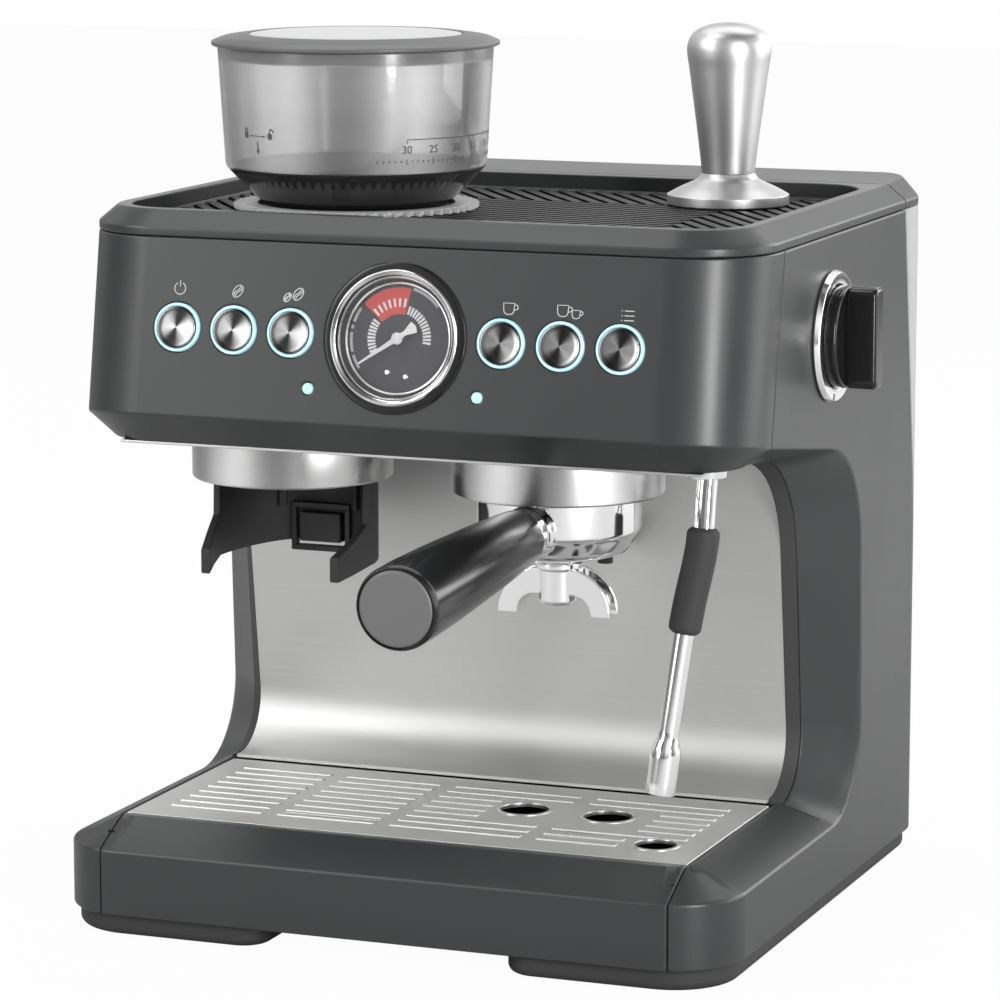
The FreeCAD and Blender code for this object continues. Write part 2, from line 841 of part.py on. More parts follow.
def wedge(name, radius, height, low, start, span):
    """A wedge of a round bar about the group's axis, from a start angle."""
    turn = Rotation(Vector(0, 0, 1), start)
    return cylinder(name, radius, height, (d.group_x, group_y, low), turn, span)


def make_group():
    """The collar, the group head with its boiler and locking ring, the gasket and the shower screen."""
    axis = (d.group_x, group_y)
    collar = ring("GroupCollar", d.group_collar_radius, group_hole, d.collar_drop, (*axis, collar_low))
    node(collar, "group_collar")
    low = collar_low + d.group_lip
    lock_top = low + d.lock_ring
    ear_top = lock_top + d.gap * 2 + d.ear_height
    cavity = d.bowl_radius + d.ear_length + d.gap
    ceiling = d.head_level + d.group_lip
    flange_low = deck_top + d.gap
    flange_top = flange_low + d.sheet_metal * 2
    profile = [
        (d.bowl_radius + d.gap, low),
        (d.group_radius, low),
        (d.group_radius, flange_low),
        (d.group_flange, flange_low),
        (d.group_flange, flange_top),
        (d.boiler_radius, flange_top),
        (d.boiler_radius, deck_top + d.boiler_height),
        (0, deck_top + d.boiler_height),
        (0, ceiling),
        (cavity, ceiling),
        (cavity, lock_top),
        (d.bowl_radius + d.gap, lock_top),
    ]
    head = place(turned("GroupBody", profile), *axis, 0)
    entry_span = d.ear_span + d.entry_room
    slots = []
    for index, side in enumerate((0, 180)):
        start = side - float(d.lock_turn) - float(entry_span) / 2
        slots.append(wedge(f"Entry{index}", cavity, d.lock_ring, low, start, entry_span))
    node(cut("GroupHead", head, *slots), "group_head")
    seat = ear_top + d.basket_sheet + d.gap
    gasket = ring("Gasket", cavity - d.gap, d.gasket_radius, ceiling - seat, (*axis, seat))
    node(gasket, "group_gasket")
    screen_radius = d.gasket_radius - d.gap * 2
    screen = [
        (0, seat + d.group_lip),
        (screen_radius, seat + d.group_lip),
        (screen_radius, seat + d.group_lip * 2),
        (d.boss_radius, seat + d.group_lip * 2),
        (d.boss_radius, ceiling),
        (0, ceiling),
    ]
    node(place(turned("Screen", screen), *axis, 0), "shower_screen")
    return ear_top, lock_top + d.gap


def arch_band(low, spread, rise, arm, depth, width):
    """A flat arch over both sides of the group's axis, with its legs on a level."""
    inside = spread - arm
    roof = rise - depth
    corners = [
        (d.group_x - spread, low, 0),
        (d.group_x - spread, low + rise, d.spout_reach),
        (d.group_x + spread, low + rise, d.spout_reach),
        (d.group_x + spread, low, 0),
        (d.group_x + inside, low, 0),
        (d.group_x + inside, low + roof, d.spout_arm),
        (d.group_x - inside, low + roof, d.spout_arm),
        (d.group_x - inside, low, 0),
    ]
    start = group_y - width / 2
    face = Part.Face(rounded(corners, lambda p: Vector(p.x, float(start), p.y)))
    return face.extrude(Vector(0, float(width), 0))


def spout_arch(low):
    """The twin spout's arch, a gutter that is open to the outside."""
    spread = d.spout_reach + d.spout_radius
    width = d.spout_radius * 2
    wall = d.spout_wall
    solid = arch_band(low, spread, d.spout_rise, d.spout_arm, d.spout_depth, width)
    gutter_arm = d.spout_arm - wall
    gutter_depth = d.spout_depth - wall
    gutter = arch_band(low, spread, d.spout_rise, gutter_arm, gutter_depth, width - wall * 2)
    return solid.cut(gutter)


def make_portafilter(rim, ear_low):
    """The bowl with its two ears, the basket, the twin spout and the handle; rim is the bowl's top."""
    axis = (d.group_x, group_y)
    low = rim - d.bowl_height
    well = d.basket_radius + d.basket_sheet + d.gap
    shoulder = rim - d.basket_depth
    profile = [
        (0, low),
        (d.boss_radius * 1.5, low),
        (d.bowl_radius - d.bowl_floor * 2, low + d.bowl_floor),
        (d.bowl_radius, low + d.bowl_floor * 4),
        (d.bowl_radius, rim),
        (well, rim),
        (well, shoulder - d.bowl_floor / 2),
        (0, shoulder - d.bowl_floor / 2),
    ]
    parts = [place(turned("BowlBody", profile), *axis, 0)]
    ear_radius = d.bowl_radius + d.ear_length
    ears = []
    for index, side in enumerate((0, 180)):
        start = side - float(d.ear_span) / 2
        ears.append(wedge(f"Ear{index}", ear_radius, rim - ear_low, ear_low, start, d.ear_span))
    core = cylinder("EarCore", d.bowl_radius - d.basket_sheet, d.bowl_height, (*axis, low))
    parts.append(cut("Ears", group("EarPair", *ears), core))
    boss_start = d.bowl_radius - d.bowl_floor
    boss_spot = (d.group_x, group_y - boss_start, handle_level)
    parts.append(cylinder("Boss", d.boss_radius, d.boss_reach - boss_start, boss_spot, TO_FRONT))
    node(fuse("Bowl", *parts), "portafilter_bowl")
    basket = [
        (0, shoulder),
        (d.basket_radius + d.basket_sheet, shoulder),
        (d.basket_radius + d.basket_sheet, rim),
        (d.basket_rim, rim),
        (d.basket_rim, rim + d.basket_sheet),
        (d.basket_radius, rim + d.basket_sheet),
        (d.basket_radius, shoulder + d.basket_sheet),
        (0, shoulder + d.basket_sheet),
    ]
    node(place(turned("Basket", basket), *axis, 0), "filter_basket")
    neck_low = low - d.spout_drop + d.spout_rise - d.spout_depth
    neck = cylinder("SpoutNeck", d.spout_neck, low - neck_low, (*axis, neck_low))
    node(fuse("Spout", shaped("SpoutArch", spout_arch(low - d.spout_drop)), neck), "portafilter_spout")
    length = d.handle_length
    grip = d.handle_radius
    handle = [
        (0, 0),
        (d.handle_neck, 0),
        (d.handle_neck, length / 12),
        (grip * 0.8, length / 4),
        (grip, length * 0.9),
        (grip, length - grip / 6),
        (grip * 0.85, length),
        (0, length),
    ]
    spot = (d.group_x, group_y - d.boss_reach, handle_level)
    node(place(turned("Handle", handle), *spot, TO_FRONT), "portafilter_handle")


def make_cradle():
    """The grinder collar, the fork that holds the portafilter under it, and its switch."""
    axis = (d.grinder_x, group_y)
    bore = d.grinder_collar_radius - d.grinder_collar_wall
    collar = ring("GrinderCollar", d.grinder_collar_radius, bore, d.collar_drop, (*axis, collar_low))
    node(collar, "grinder_collar")
    wall = bore - d.gap
    low = d.head_level - d.cradle_drop
    shell = cylinder("ForkWall", wall, d.cradle_drop, (*axis, low), Rotation(Vector(0, 0, 1), -4), 188.0)
    hollow = cylinder("ForkHollow", wall - d.cradle_wall, d.seam_level, (*axis, 0))
    window_low = (d.grinder_x - d.switch_width / 2 - d.gap, group_y, low + d.cradle_wall)
    window_span = (d.switch_width + d.gap * 2, wall + d.cradle_wall, d.switch_height + d.gap * 2)
    arms = []
    for name, x in (("Left", d.grinder_x - wall), ("Right", d.grinder_x + wall - d.cradle_arm_width)):
        arm_low = (x, group_y - d.cradle_arm_reach, low)
        arms.append(box(f"Arm{name}", arm_low, (d.cradle_arm_width, d.cradle_arm_reach, d.cradle_arm_height)))
        hook_low = (x, group_y - d.cradle_arm_reach, low - d.cradle_hook_drop)
        hook_span = (d.cradle_arm_width, d.cradle_arm_width * 1.5, d.cradle_hook_drop)
        arms.append(box(f"Hook{name}", hook_low, hook_span))
    fork = cut("ForkShell", shell, hollow, box("SwitchWindow", window_low, window_span))
    node(fuse("Cradle", fork, *arms), "grind_cradle")
    switch_low = (
        d.grinder_x - d.switch_width / 2,
        group_y + wall - d.switch_depth,
        low + d.cradle_wall + d.gap,
    )
    node(box("Switch", switch_low, (d.switch_width, d.switch_depth, d.switch_height)), "grind_switch")


def make_grinder():
    """The burr chamber with its chute, the motor below it and the lower burr on the motor's shaft."""
    axis = (d.hopper_x, hopper_y)
    top = cap_low - d.gap
    low = top - d.chamber_depth
    floor = low + d.sheet_metal
    cavity = d.hopper_neck_radius + d.gap
    chamber = cylinder("ChamberBody", d.chamber_radius, d.chamber_depth, (*axis, low))
    duct_low = (d.grinder_x - d.chute_radius, group_y, low)
    duct = box("Duct", duct_low, (d.chute_radius * 2, hopper_y - group_y, d.chamber_depth - d.sheet_metal))
    chute_spot = (d.grinder_x, group_y, collar_low)
    tube = cylinder("ChuteTube", d.chute_radius, top - d.sheet_metal - collar_low, chute_spot)
    channel = d.chute_radius - d.chute_wall
    tools = [
        cylinder("ChamberRoom", cavity, d.chamber_depth, (*axis, floor)),
        cylinder("ShaftHole", d.shaft_radius + d.gap, d.chamber_depth, (*axis, low)),
        cylinder("ChuteBore", channel, floor + d.burr_height - collar_low, chute_spot),
    ]
    duct_room = (d.grinder_x - channel, group_y, floor)
    tools.append(box("DuctRoom", duct_room, (channel * 2, hopper_y - group_y, d.burr_height)))
    node(cut("GrinderHousing", fuse("Housing", chamber, duct, tube), *tools), "grinder_housing")
    motor_top = low - d.gap
    socket = motor_top - d.burr_height * 2
    motor = [
        (0, deck_top + d.gap),
        (d.motor_radius, deck_top + d.gap),
        (d.motor_radius, motor_top),
        (d.shaft_radius + d.gap, motor_top),
        (d.shaft_radius + d.gap, socket),
        (0, socket),
    ]
    node(place(turned("Motor", motor), *axis, 0), "grinder_motor")
    burr_low = floor + d.burr_gap
    rim = d.burr_bore - d.burr_gap
    burr = [
        (0, socket + d.gap),
        (d.shaft_radius, socket + d.gap),
        (d.shaft_radius, burr_low),
        (rim, burr_low),
        (rim / 2, hopper_low() + d.burr_height),
        (0, hopper_low() + d.burr_height),
    ]
    node(place(turned("LowerBurr", burr), *axis, 0), "lower_burr")


def hopper_low():
    """The lower end of the hopper's neck."""
    return cup_level + d.gap + d.adjust_height + d.gap - d.hopper_neck_depth


def make_hopper():
    """The bean hopper with its adjusting ring and upper burr, and the lid on top."""
    axis = (d.hopper_x, hopper_y)
    base = cup_level + d.gap + d.adjust_height + d.gap
    waist = base + d.hopper_cone_height
    top = base + d.hopper_height
    wall = d.hopper_wall
    neck_bore = d.hopper_neck_radius - wall
    profile = [
        (neck_bore, hopper_low()),
        (d.hopper_neck_radius, hopper_low()),
        (d.hopper_neck_radius, base),
        (d.hopper_cone_radius, base),
        (d.hopper_waist_radius, waist),
        (d.hopper_radius, top),
        (d.hopper_radius - wall, top),
        (d.hopper_waist_radius - wall, waist + wall / 2),
        (d.hopper_cone_radius - wall, base + wall),
        (neck_bore, base + wall),
    ]
    node(place(turned("HopperBowl", profile), *axis, 0), "hopper_bowl")
    bore = d.hopper_neck_radius + d.gap
    grip = ring("AdjustRing", d.adjust_radius, bore, d.adjust_height, (*axis, cup_level + d.gap))
    node(grip, "adjust_ring")
    burr_spot = (*axis, hopper_low() - d.burr_height)
    burr = ring("UpperBurr", d.hopper_neck_radius, d.burr_bore, d.burr_height, burr_spot)
    node(burr, "upper_burr")
    seat = top + d.gap
    plug = d.hopper_radius - wall - d.gap * 4
    edge = seat + d.lid_edge
    lid = [
        (0, seat - d.lid_plug),
        (plug, seat - d.lid_plug),
        (plug, seat),
        (d.lid_radius, seat),
        (d.lid_radius, edge),
        (d.lid_radius * 0.75, edge + d.lid_dome),
        (0, edge + d.lid_dome),
    ]
    node(place(turned("HopperLid", lid), *axis, 0), "hopper_lid")


def make_buttons():
    """Six buttons in their light rings, the two indicator lights and the board behind them."""
    names = (
        "power_button",
        "single_dose_button",
        "double_dose_button",
        "single_cup_button",
        "double_cup_button",
        "menu_button",
    )
    skirt = -d.panel_wall * 2
    bore = d.button_radius + d.gap
    tip = d.button_stroke + d.gap * 2 - d.gauge_depth
    rings = []
    for index, (name, x) in enumerate(zip(names, button_places())):
        profile = [(bore, skirt), (d.button_ring_radius, skirt), (d.button_ring_radius, d.button_stroke)]
        profile.append((bore, d.button_stroke))
        rings.append(on_panel(turned(f"LightRing{index}", profile), x, d.control_level))
        cap = [
            (0, tip),
            (d.button_radius / 4, tip),
            (d.button_radius / 4, skirt),
            (d.button_radius, skirt),
            (d.button_radius, d.button_rise - d.gap * 2),
            (d.button_radius - d.gap * 2, d.button_rise),
            (0, d.button_rise),
        ]
        node(on_panel(turned(f"Button{index}", cap), x, d.control_level), name)
    node(group("LightRings", *rings), "button_rings")
    lights = []
    for index, x in enumerate((-d.light_x, d.light_x)):
        lamp = cylinder(f"Light{index}", d.light_radius, d.panel_wall * 2, (0, 0, 0))
        lights.append(on_panel(lamp, x, d.light_level, d.gap * 2 - d.panel_wall * 2))
    node(group("Lights", *lights), "indicator_lights")
    side = d.board_width / 2
    tall = d.board_height / 2
    board = [(-side, -tall), (side, -tall), (side, tall), (-side, tall)]
    sheet_out = -(d.gauge_depth + d.gap + d.board_sheet)
    flat = slab("Board", "XY_Plane", board, d.board_sheet)
    node(on_panel(flat, 0, d.control_level, sheet_out), "control_board")


def spun(points):
    """Flat points turned so that what ran to the right runs to the needle's rest, down and to the left."""
    across_share = math.cos(NEEDLE_REST)
    up_share = math.sin(NEEDLE_REST)
    return [(a * across_share - b * up_share, a * up_share + b * across_share) for a, b in points]


def make_gauge():
    """The pressure gauge: case, bright ring, dial, needle and glass."""
    at = (0, d.control_level)
    floor = d.gauge_floor
    room = d.gauge_ring_radius - d.gauge_ring_width / 2
    case = [
        (0, -d.gauge_depth),
        (d.gauge_body_radius, -d.gauge_depth),
        (d.gauge_body_radius, d.gap),
        (d.gauge_radius, d.gap),
        (d.gauge_radius, d.gauge_rise),
        (room, d.gauge_rise),
        (room, -floor),
        (0, -floor),
    ]
    node(on_panel(turned("GaugeCase", case), *at), "gauge_case")
    trim_low = d.gauge_rise
    trim = [
        (d.gauge_ring_radius - d.gauge_ring_width, trim_low),
        (d.gauge_ring_radius, trim_low),
        (d.gauge_ring_radius - d.gap * 2, trim_low + d.gauge_ring_width / 2),
        (d.gauge_ring_radius - d.gauge_ring_width, trim_low + d.gauge_ring_width / 2),
    ]
    node(on_panel(turned("GaugeTrim", trim), *at), "gauge_ring")
    disc = room - d.gap
    hub = d.shaft_radius / 2
    bore = hub / 2 + d.gap
    face = d.dial_sheet - floor
    dial = [(bore, -floor), (disc, -floor), (disc, face), (bore, face)]
    node(on_panel(turned("GaugeDial", dial), *at), "gauge_dial")
    pane_low = trim_low - d.dial_sheet * 2
    pane = [(0, pane_low), (disc, pane_low), (disc, trim_low), (0, trim_low)]
    node(on_panel(turned("GaugePane", pane), *at), "gauge_glass")
    tail = d.needle_length / 2.5
    tip = d.needle_length
    blade = spun([(-tail, -hub / 2), (tip, -hub / 8), (tip, hub / 8), (-tail, hub / 2)])
    rest = d.dial_sheet - floor + d.gap
    pointer = on_panel(slab("Pointer", "XY_Plane", blade, d.needle_sheet), *at, rest)
    boss = on_panel(cylinder("PointerBoss", hub, d.needle_sheet * 2, (0, 0, 0)), *at, rest)
    pin = on_panel(cylinder("PointerPin", hub / 2, d.dial_sheet, (0, 0, 0)), *at, rest - d.dial_sheet)
    node(fuse("Needle", pointer, boss, pin), "gauge_needle")


def make_steam_knob():
    """The steam knob on its shaft, the bright escutcheon round it and the valve inside the wall."""
    axis = (knob_y, d.knob_level)
    bore = d.knob_radius + d.gap
    edge = d.escutcheon_radius
    rise = d.escutcheon_rise
    rim = [(bore, 0), (edge, 0), (edge - d.gap * 3, rise), (bore, rise)]
    node(place(turned("Escutcheon", rim), half, *axis, TO_RIGHT), "knob_escutcheon")
    inside = d.side_wall * 3
    knob = [
        (0, -inside),
        (d.shaft_radius, -inside),
        (d.shaft_radius, d.gap),
        (d.knob_radius, d.gap),
        (d.knob_radius, d.knob_rise - d.gap * 3),
        (d.knob_radius - d.gap * 3, d.knob_rise),
        (0, d.knob_rise),
    ]
    disc = place(turned("KnobDisc", knob), half, *axis, TO_RIGHT)
    grip_low = (half + d.knob_rise, knob_y - d.grip_width / 2, d.knob_level - d.knob_radius)
    grip = box("KnobGrip", grip_low, (d.grip_rise, d.grip_width, d.knob_radius * 2))
    node(fuse("Knob", disc, grip), "steam_knob")
    valve_end = half - d.side_wall - d.gap
    valve_spot = (valve_end - d.valve_length, *axis)
    body = cylinder("ValveBody", d.valve_radius, d.valve_length, valve_spot, TO_RIGHT)
    seat = cylinder("ValveSeat", d.shaft_radius + d.gap, inside, (half - inside - d.gap, *axis), TO_RIGHT)
    node(cut("Valve", body, seat), "steam_valve")


def make_wand():
    """The steam wand that hangs from a ball in its collar, with its sleeve and nozzle."""
    hub = (d.wand_x, wand_y)
    drop = d.wand_drop
    lean = (-d.wand_lean_left, -d.wand_lean_front, -drop)
    length = root(d.wand_lean_left * d.wand_lean_left + d.wand_lean_front * d.wand_lean_front + drop * drop)
    turn = Rotation(Vector(0, 0, 1), Vector(*(float(part) for part in lean)))

    def along(distance):
        return tuple(start + part / length * distance for start, part in zip((*hub, ball_level), lean))

    socket = d.wand_ball_radius + d.gap
    collar = ring("WandCollar", d.wand_collar_radius, socket, d.wand_ball_drop - d.gap, (*hub, ball_level))
    node(collar, "wand_collar")
    ball = doc.addObject("Part::Sphere", "WandBall")
    bind(ball, "Radius", d.wand_ball_radius)
    place(ball, *hub, ball_level)
    tube = cylinder("WandTube", d.wand_radius, length, along(0.0), turn)
    nozzle = cylinder("WandNozzle", d.nozzle_radius, d.nozzle_length, along(length - d.nozzle_length), turn)
    node(fuse("Wand", ball, tube, nozzle), "wand_tube")
    sleeve = cylinder("SleeveBody", d.sleeve_radius, d.sleeve_length, along(d.sleeve_start), turn)
    bore = cylinder("SleeveBore", d.wand_radius + d.gap / 2, length, along(0.0), turn)
    node(cut("Sleeve", sleeve, bore), "wand_sleeve")
    plate_y = front + d.plate_back_top + plate_lean * (d.head_level - d.outlet_level)
    start = plate_y - plate_lean * d.outlet_radius - d.gap
    outlet_spot = (d.outlet_x, start, d.outlet_level)
    pipe = cylinder("OutletPipe", d.outlet_radius, d.outlet_length, outlet_spot, TO_FRONT)
    tip_low = (d.outlet_x, start - d.outlet_length + d.outlet_radius, d.outlet_level - d.outlet_radius * 2)
    tip = cylinder("OutletTip", d.outlet_radius * 0.8, d.outlet_radius * 2, tip_low)
    node(fuse("Outlet", pipe, tip), "hot_water_outlet")


def make_pump():
    """The pump on its two feet in the base, and the hose up to the boiler."""
    start = -(d.pump_length / 2)
    spot = (start, pump_y, d.pump_level)
    barrel = cylinder("PumpBarrel", d.pump_radius, d.pump_length, spot, TO_RIGHT)
    feet = []
    for index, x in enumerate((start + d.pump_radius, -start - d.pump_radius * 2)):
        foot = (x, pump_y - d.pump_radius / 2, pan_top)
        feet.append(box(f"PumpFoot{index}", foot, (d.pump_radius, d.pump_radius, d.pump_level - pan_top)))
    node(fuse("Pump", barrel, *feet), "pump")
    low = Vector(hose_x.value, pump_y.value, float(d.pump_level + d.pump_radius + d.gap))
    bend = d.hose_bend.value
    level = d.hose_level.value
    turn_in = Vector(low.x, low.y, level - bend)
    turn_mid = Vector(low.x, low.y - bend + bend * math.sqrt(0.5), level - bend + bend * math.sqrt(0.5))
    turn_out = Vector(low.x, low.y - bend, level)
    end = Vector(low.x, float(group_y + d.boiler_radius + d.gap), level)
    path = Part.Wire([
        Part.LineSegment(low, turn_in).toShape(),
        Part.Arc(turn_in, turn_mid, turn_out).toShape(),
        Part.LineSegment(turn_out, end).toShape(),
    ])
    section = Part.Wire(Part.makeCircle(d.hose_radius.value, low, Vector(0, 0, 1)))
    node(shaped("Hose", path.makePipeShell([section], True, False)), "water_hose")


def rib_spans(row):
    """Where the four ribs of a row on the drip plate start and stop, clear of the three holes."""
    half = d.rib_gap / 2
    left_stop = d.group_x - d.spout_reach - d.rib_clear + d.rib_gap * 0.8
    right_start = d.group_x + d.spout_reach + d.rib_clear
    spans = [
        (d.rib_outer * -1, d.rib_split_left - half),
        (d.rib_split_left + half, d.rib_split_middle - half),
        (d.rib_split_middle + half, d.rib_split_right - half),
        (d.rib_split_right + half, d.rib_outer),
    ]
    if row in (3, 4, 5, 6):
        spans[2] = (spans[2][0], left_stop)
        spans[3] = (right_start, spans[3][1])
    if row in (0, 1):
        spans[3] = (spans[3][0], right_start)
    return spans


def make_tray():
    """The drip tray: its front, its pan and the ribbed plate on top."""
    edge = d.tray_half_width - d.gap
    tray_rear = front + d.tray_front_depth
    low = d.foot_height + d.gap
    keep = block_between((-edge, front, low), (edge, tray_rear, d.tray_level))
    shell = base_block().common(keep)
    wall = d.tray_wall * 2
    hollow_low = (-edge + wall, front + wall, low)
    hollow_high = (edge - wall, tray_rear - wall, d.base_edge_level - wall)
    hollow = block_between(hollow_low, hollow_high)
    node(shaped("TrayFront", shell.cut(hollow)), "drip_tray_front")
    pan_low = pan_top + d.gap
    plate_low = d.tray_level - d.drip_plate_sheet
    span = (edge - d.gap) * 2
    depth = tray_back - tray_rear
    corner = (d.gap - edge, tray_rear, pan_low)
    pan = box("PanBlock", corner, (span, depth, plate_low - pan_low))
    well_low = (corner[0] + d.tray_wall, tray_rear + d.tray_wall, pan_low + d.tray_wall)
    well = box("PanWell", well_low, (span - d.tray_wall * 2, depth - d.tray_wall * 2, d.tray_level))
    node(cut("TrayPan", pan, well), "drip_tray_pan")
    plate = box("PlateSheet", (corner[0], tray_rear, plate_low), (span, depth, d.drip_plate_sheet))
    ribs = []
    for row in range(9):
        y = front + d.rib_back + d.rib_pitch * row - d.rib_width / 2
        for column, (start, stop) in enumerate(rib_spans(row)):
            rib = (stop - start, d.rib_width, d.drip_plate_sheet + d.rib_height)
            ribs.append(box(f"Rib{row}_{column}", (start, y, plate_low), rib))
    drain_y = front + d.drain_hole_back
    slot_x = d.rib_split_left + d.rib_gap / 2
    slot_y = front + d.rib_back + d.rib_pitch / 2 - d.slot_width / 2
    slot_span = d.rib_split_middle - d.rib_split_left - d.rib_gap
    tools = [box("Slot", (slot_x, slot_y, pan_low), (slot_span, d.slot_width, d.tray_level))]
    for index, x in enumerate((d.group_x - d.spout_reach, d.group_x + d.spout_reach)):
        tools.append(cylinder(f"Drain{index}", d.drain_hole_radius, d.tray_level, (x, drain_y, pan_low)))
    small_spot = (d.small_hole_x, front + d.small_hole_back, pan_low)
    tools.append(cylinder("SmallDrain", d.small_hole_radius, d.tray_level, small_spot))
    ribbed = fuse("RibbedPlate", plate, *ribs)
    node(cut("DripPlate", ribbed, fuse("PlateHoles", *tools)), "drip_plate")


def make_tamper():
    """The tamper that stands on the cup tray."""
    foot = d.tamper_foot
    tall = d.tamper_height
    profile = [
        (0, 0),
        (d.tamper_radius, 0),
        (d.tamper_radius, foot),
        (d.tamper_neck, foot * 1.8),
        (d.tamper_neck, foot * 2.6),
        (d.tamper_grip * 0.85, tall * 0.6),
        (d.tamper_grip, tall * 0.84),
        (d.tamper_grip * 0.92, tall * 0.93),
        (d.tamper_grip * 0.55, tall),
        (0, tall),
    ]
    spot = (d.tamper_x, lid_front - d.tamper_to_lid, cup_level + d.gap)
    node(place(turned("Tamper", profile), *spot), "tamper")


def check():
    """Stop if any object failed to build, or if a piece has no valid solid."""
    for thing in doc.Objects:
        if "Invalid" in thing.State or "Error" in thing.State:
            raise RuntimeError(f"{thing.Label} did not build: {thing.State}")
    for thing in nodes:
        if thing.Shape.isNull() or not thing.Shape.isValid() or not thing.Shape.Solids:
            raise RuntimeError(f"{thing.Label} has no valid solid")


def main():
    """Build every piece, check it and write its file."""
    make_base()
    make_sides()
    make_front()
    make_cap()
    make_tank()
    make_rear()
    make_backplate()
    make_chassis()
    make_portafilter(*make_group())
    make_cradle()
    make_grinder()
    make_hopper()
    make_buttons()
    make_gauge()
    make_steam_knob()
    make_wand()
    make_pump()
    make_tray()
    make_tamper()
    doc.recompute()
    check()
    os.makedirs("parts", exist_ok=True)
    for thing in nodes:
        thing.Shape.exportStep(f"parts/{thing.Label}.step")
        print(thing.Label, len(thing.Shape.Solids), round(thing.Shape.Volume))


main()
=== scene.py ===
"""Looks of a countertop espresso machine with a built-in grinder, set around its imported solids.

Lengths in this file are millimetres unless a name says otherwise, in the frame of the solids: X to the
right of someone in front of the machine, Y to its back, Z up from the worktop.
"""

import json
import logging
import math
from collections.abc import Iterable, Sequence
from dataclasses import dataclass, field, replace
from enum import Enum

import bmesh
import bpy
from mathutils import Matrix, Vector

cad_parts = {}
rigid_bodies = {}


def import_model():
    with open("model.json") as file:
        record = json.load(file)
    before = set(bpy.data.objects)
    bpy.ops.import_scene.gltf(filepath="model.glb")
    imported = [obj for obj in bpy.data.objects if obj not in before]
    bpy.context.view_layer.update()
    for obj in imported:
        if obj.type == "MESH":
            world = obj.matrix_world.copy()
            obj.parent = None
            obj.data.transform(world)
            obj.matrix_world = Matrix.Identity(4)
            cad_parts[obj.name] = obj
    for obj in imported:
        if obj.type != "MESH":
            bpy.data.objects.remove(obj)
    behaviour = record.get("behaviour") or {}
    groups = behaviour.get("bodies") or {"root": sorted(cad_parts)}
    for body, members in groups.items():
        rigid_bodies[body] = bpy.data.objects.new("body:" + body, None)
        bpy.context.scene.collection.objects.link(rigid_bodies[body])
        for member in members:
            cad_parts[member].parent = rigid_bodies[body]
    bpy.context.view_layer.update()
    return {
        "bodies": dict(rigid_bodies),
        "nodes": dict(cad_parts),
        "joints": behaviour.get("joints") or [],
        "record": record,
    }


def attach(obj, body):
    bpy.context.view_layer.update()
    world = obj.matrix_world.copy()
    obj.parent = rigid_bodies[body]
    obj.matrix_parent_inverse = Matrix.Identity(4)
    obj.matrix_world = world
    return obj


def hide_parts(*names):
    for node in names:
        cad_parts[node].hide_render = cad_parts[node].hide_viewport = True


LOG = logging.getLogger("espresso_machine")
MM = 0.001
MERGE_DISTANCE = 0.002
FLAT_ANGLE = math.radians(0.4)
SHARP_ANGLE = math.radians(34.0)
BLOCK_ANGLE = 40.0
EDGE_STEPS = 3
EDGE_WEIGHT = 60
LONGEST_FILLET = 0.49
# A template that is copied stays in millimetres until its copies are placed.
TEMPLATE = Matrix.Scale(1 / MM, 4)

Point = tuple[float, float]
Spot = tuple[float, float, float]
Corner = tuple[float, float, float]
Color = tuple[float, float, float]
Line = tuple[Sequence[Spot], bool]
Piece = bpy.types.Object
Socket = bpy.types.NodeSocket
Sockets = bpy.types.bpy_prop_collection
NodeGroup = bpy.types.NodeTree


class Grain(Enum):
    """How the fine marks of a surface run."""

    SPECKLE = "speckle"
    BRUSHED = "brushed"
    TURNED = "turned"
    SPUN = "spun"


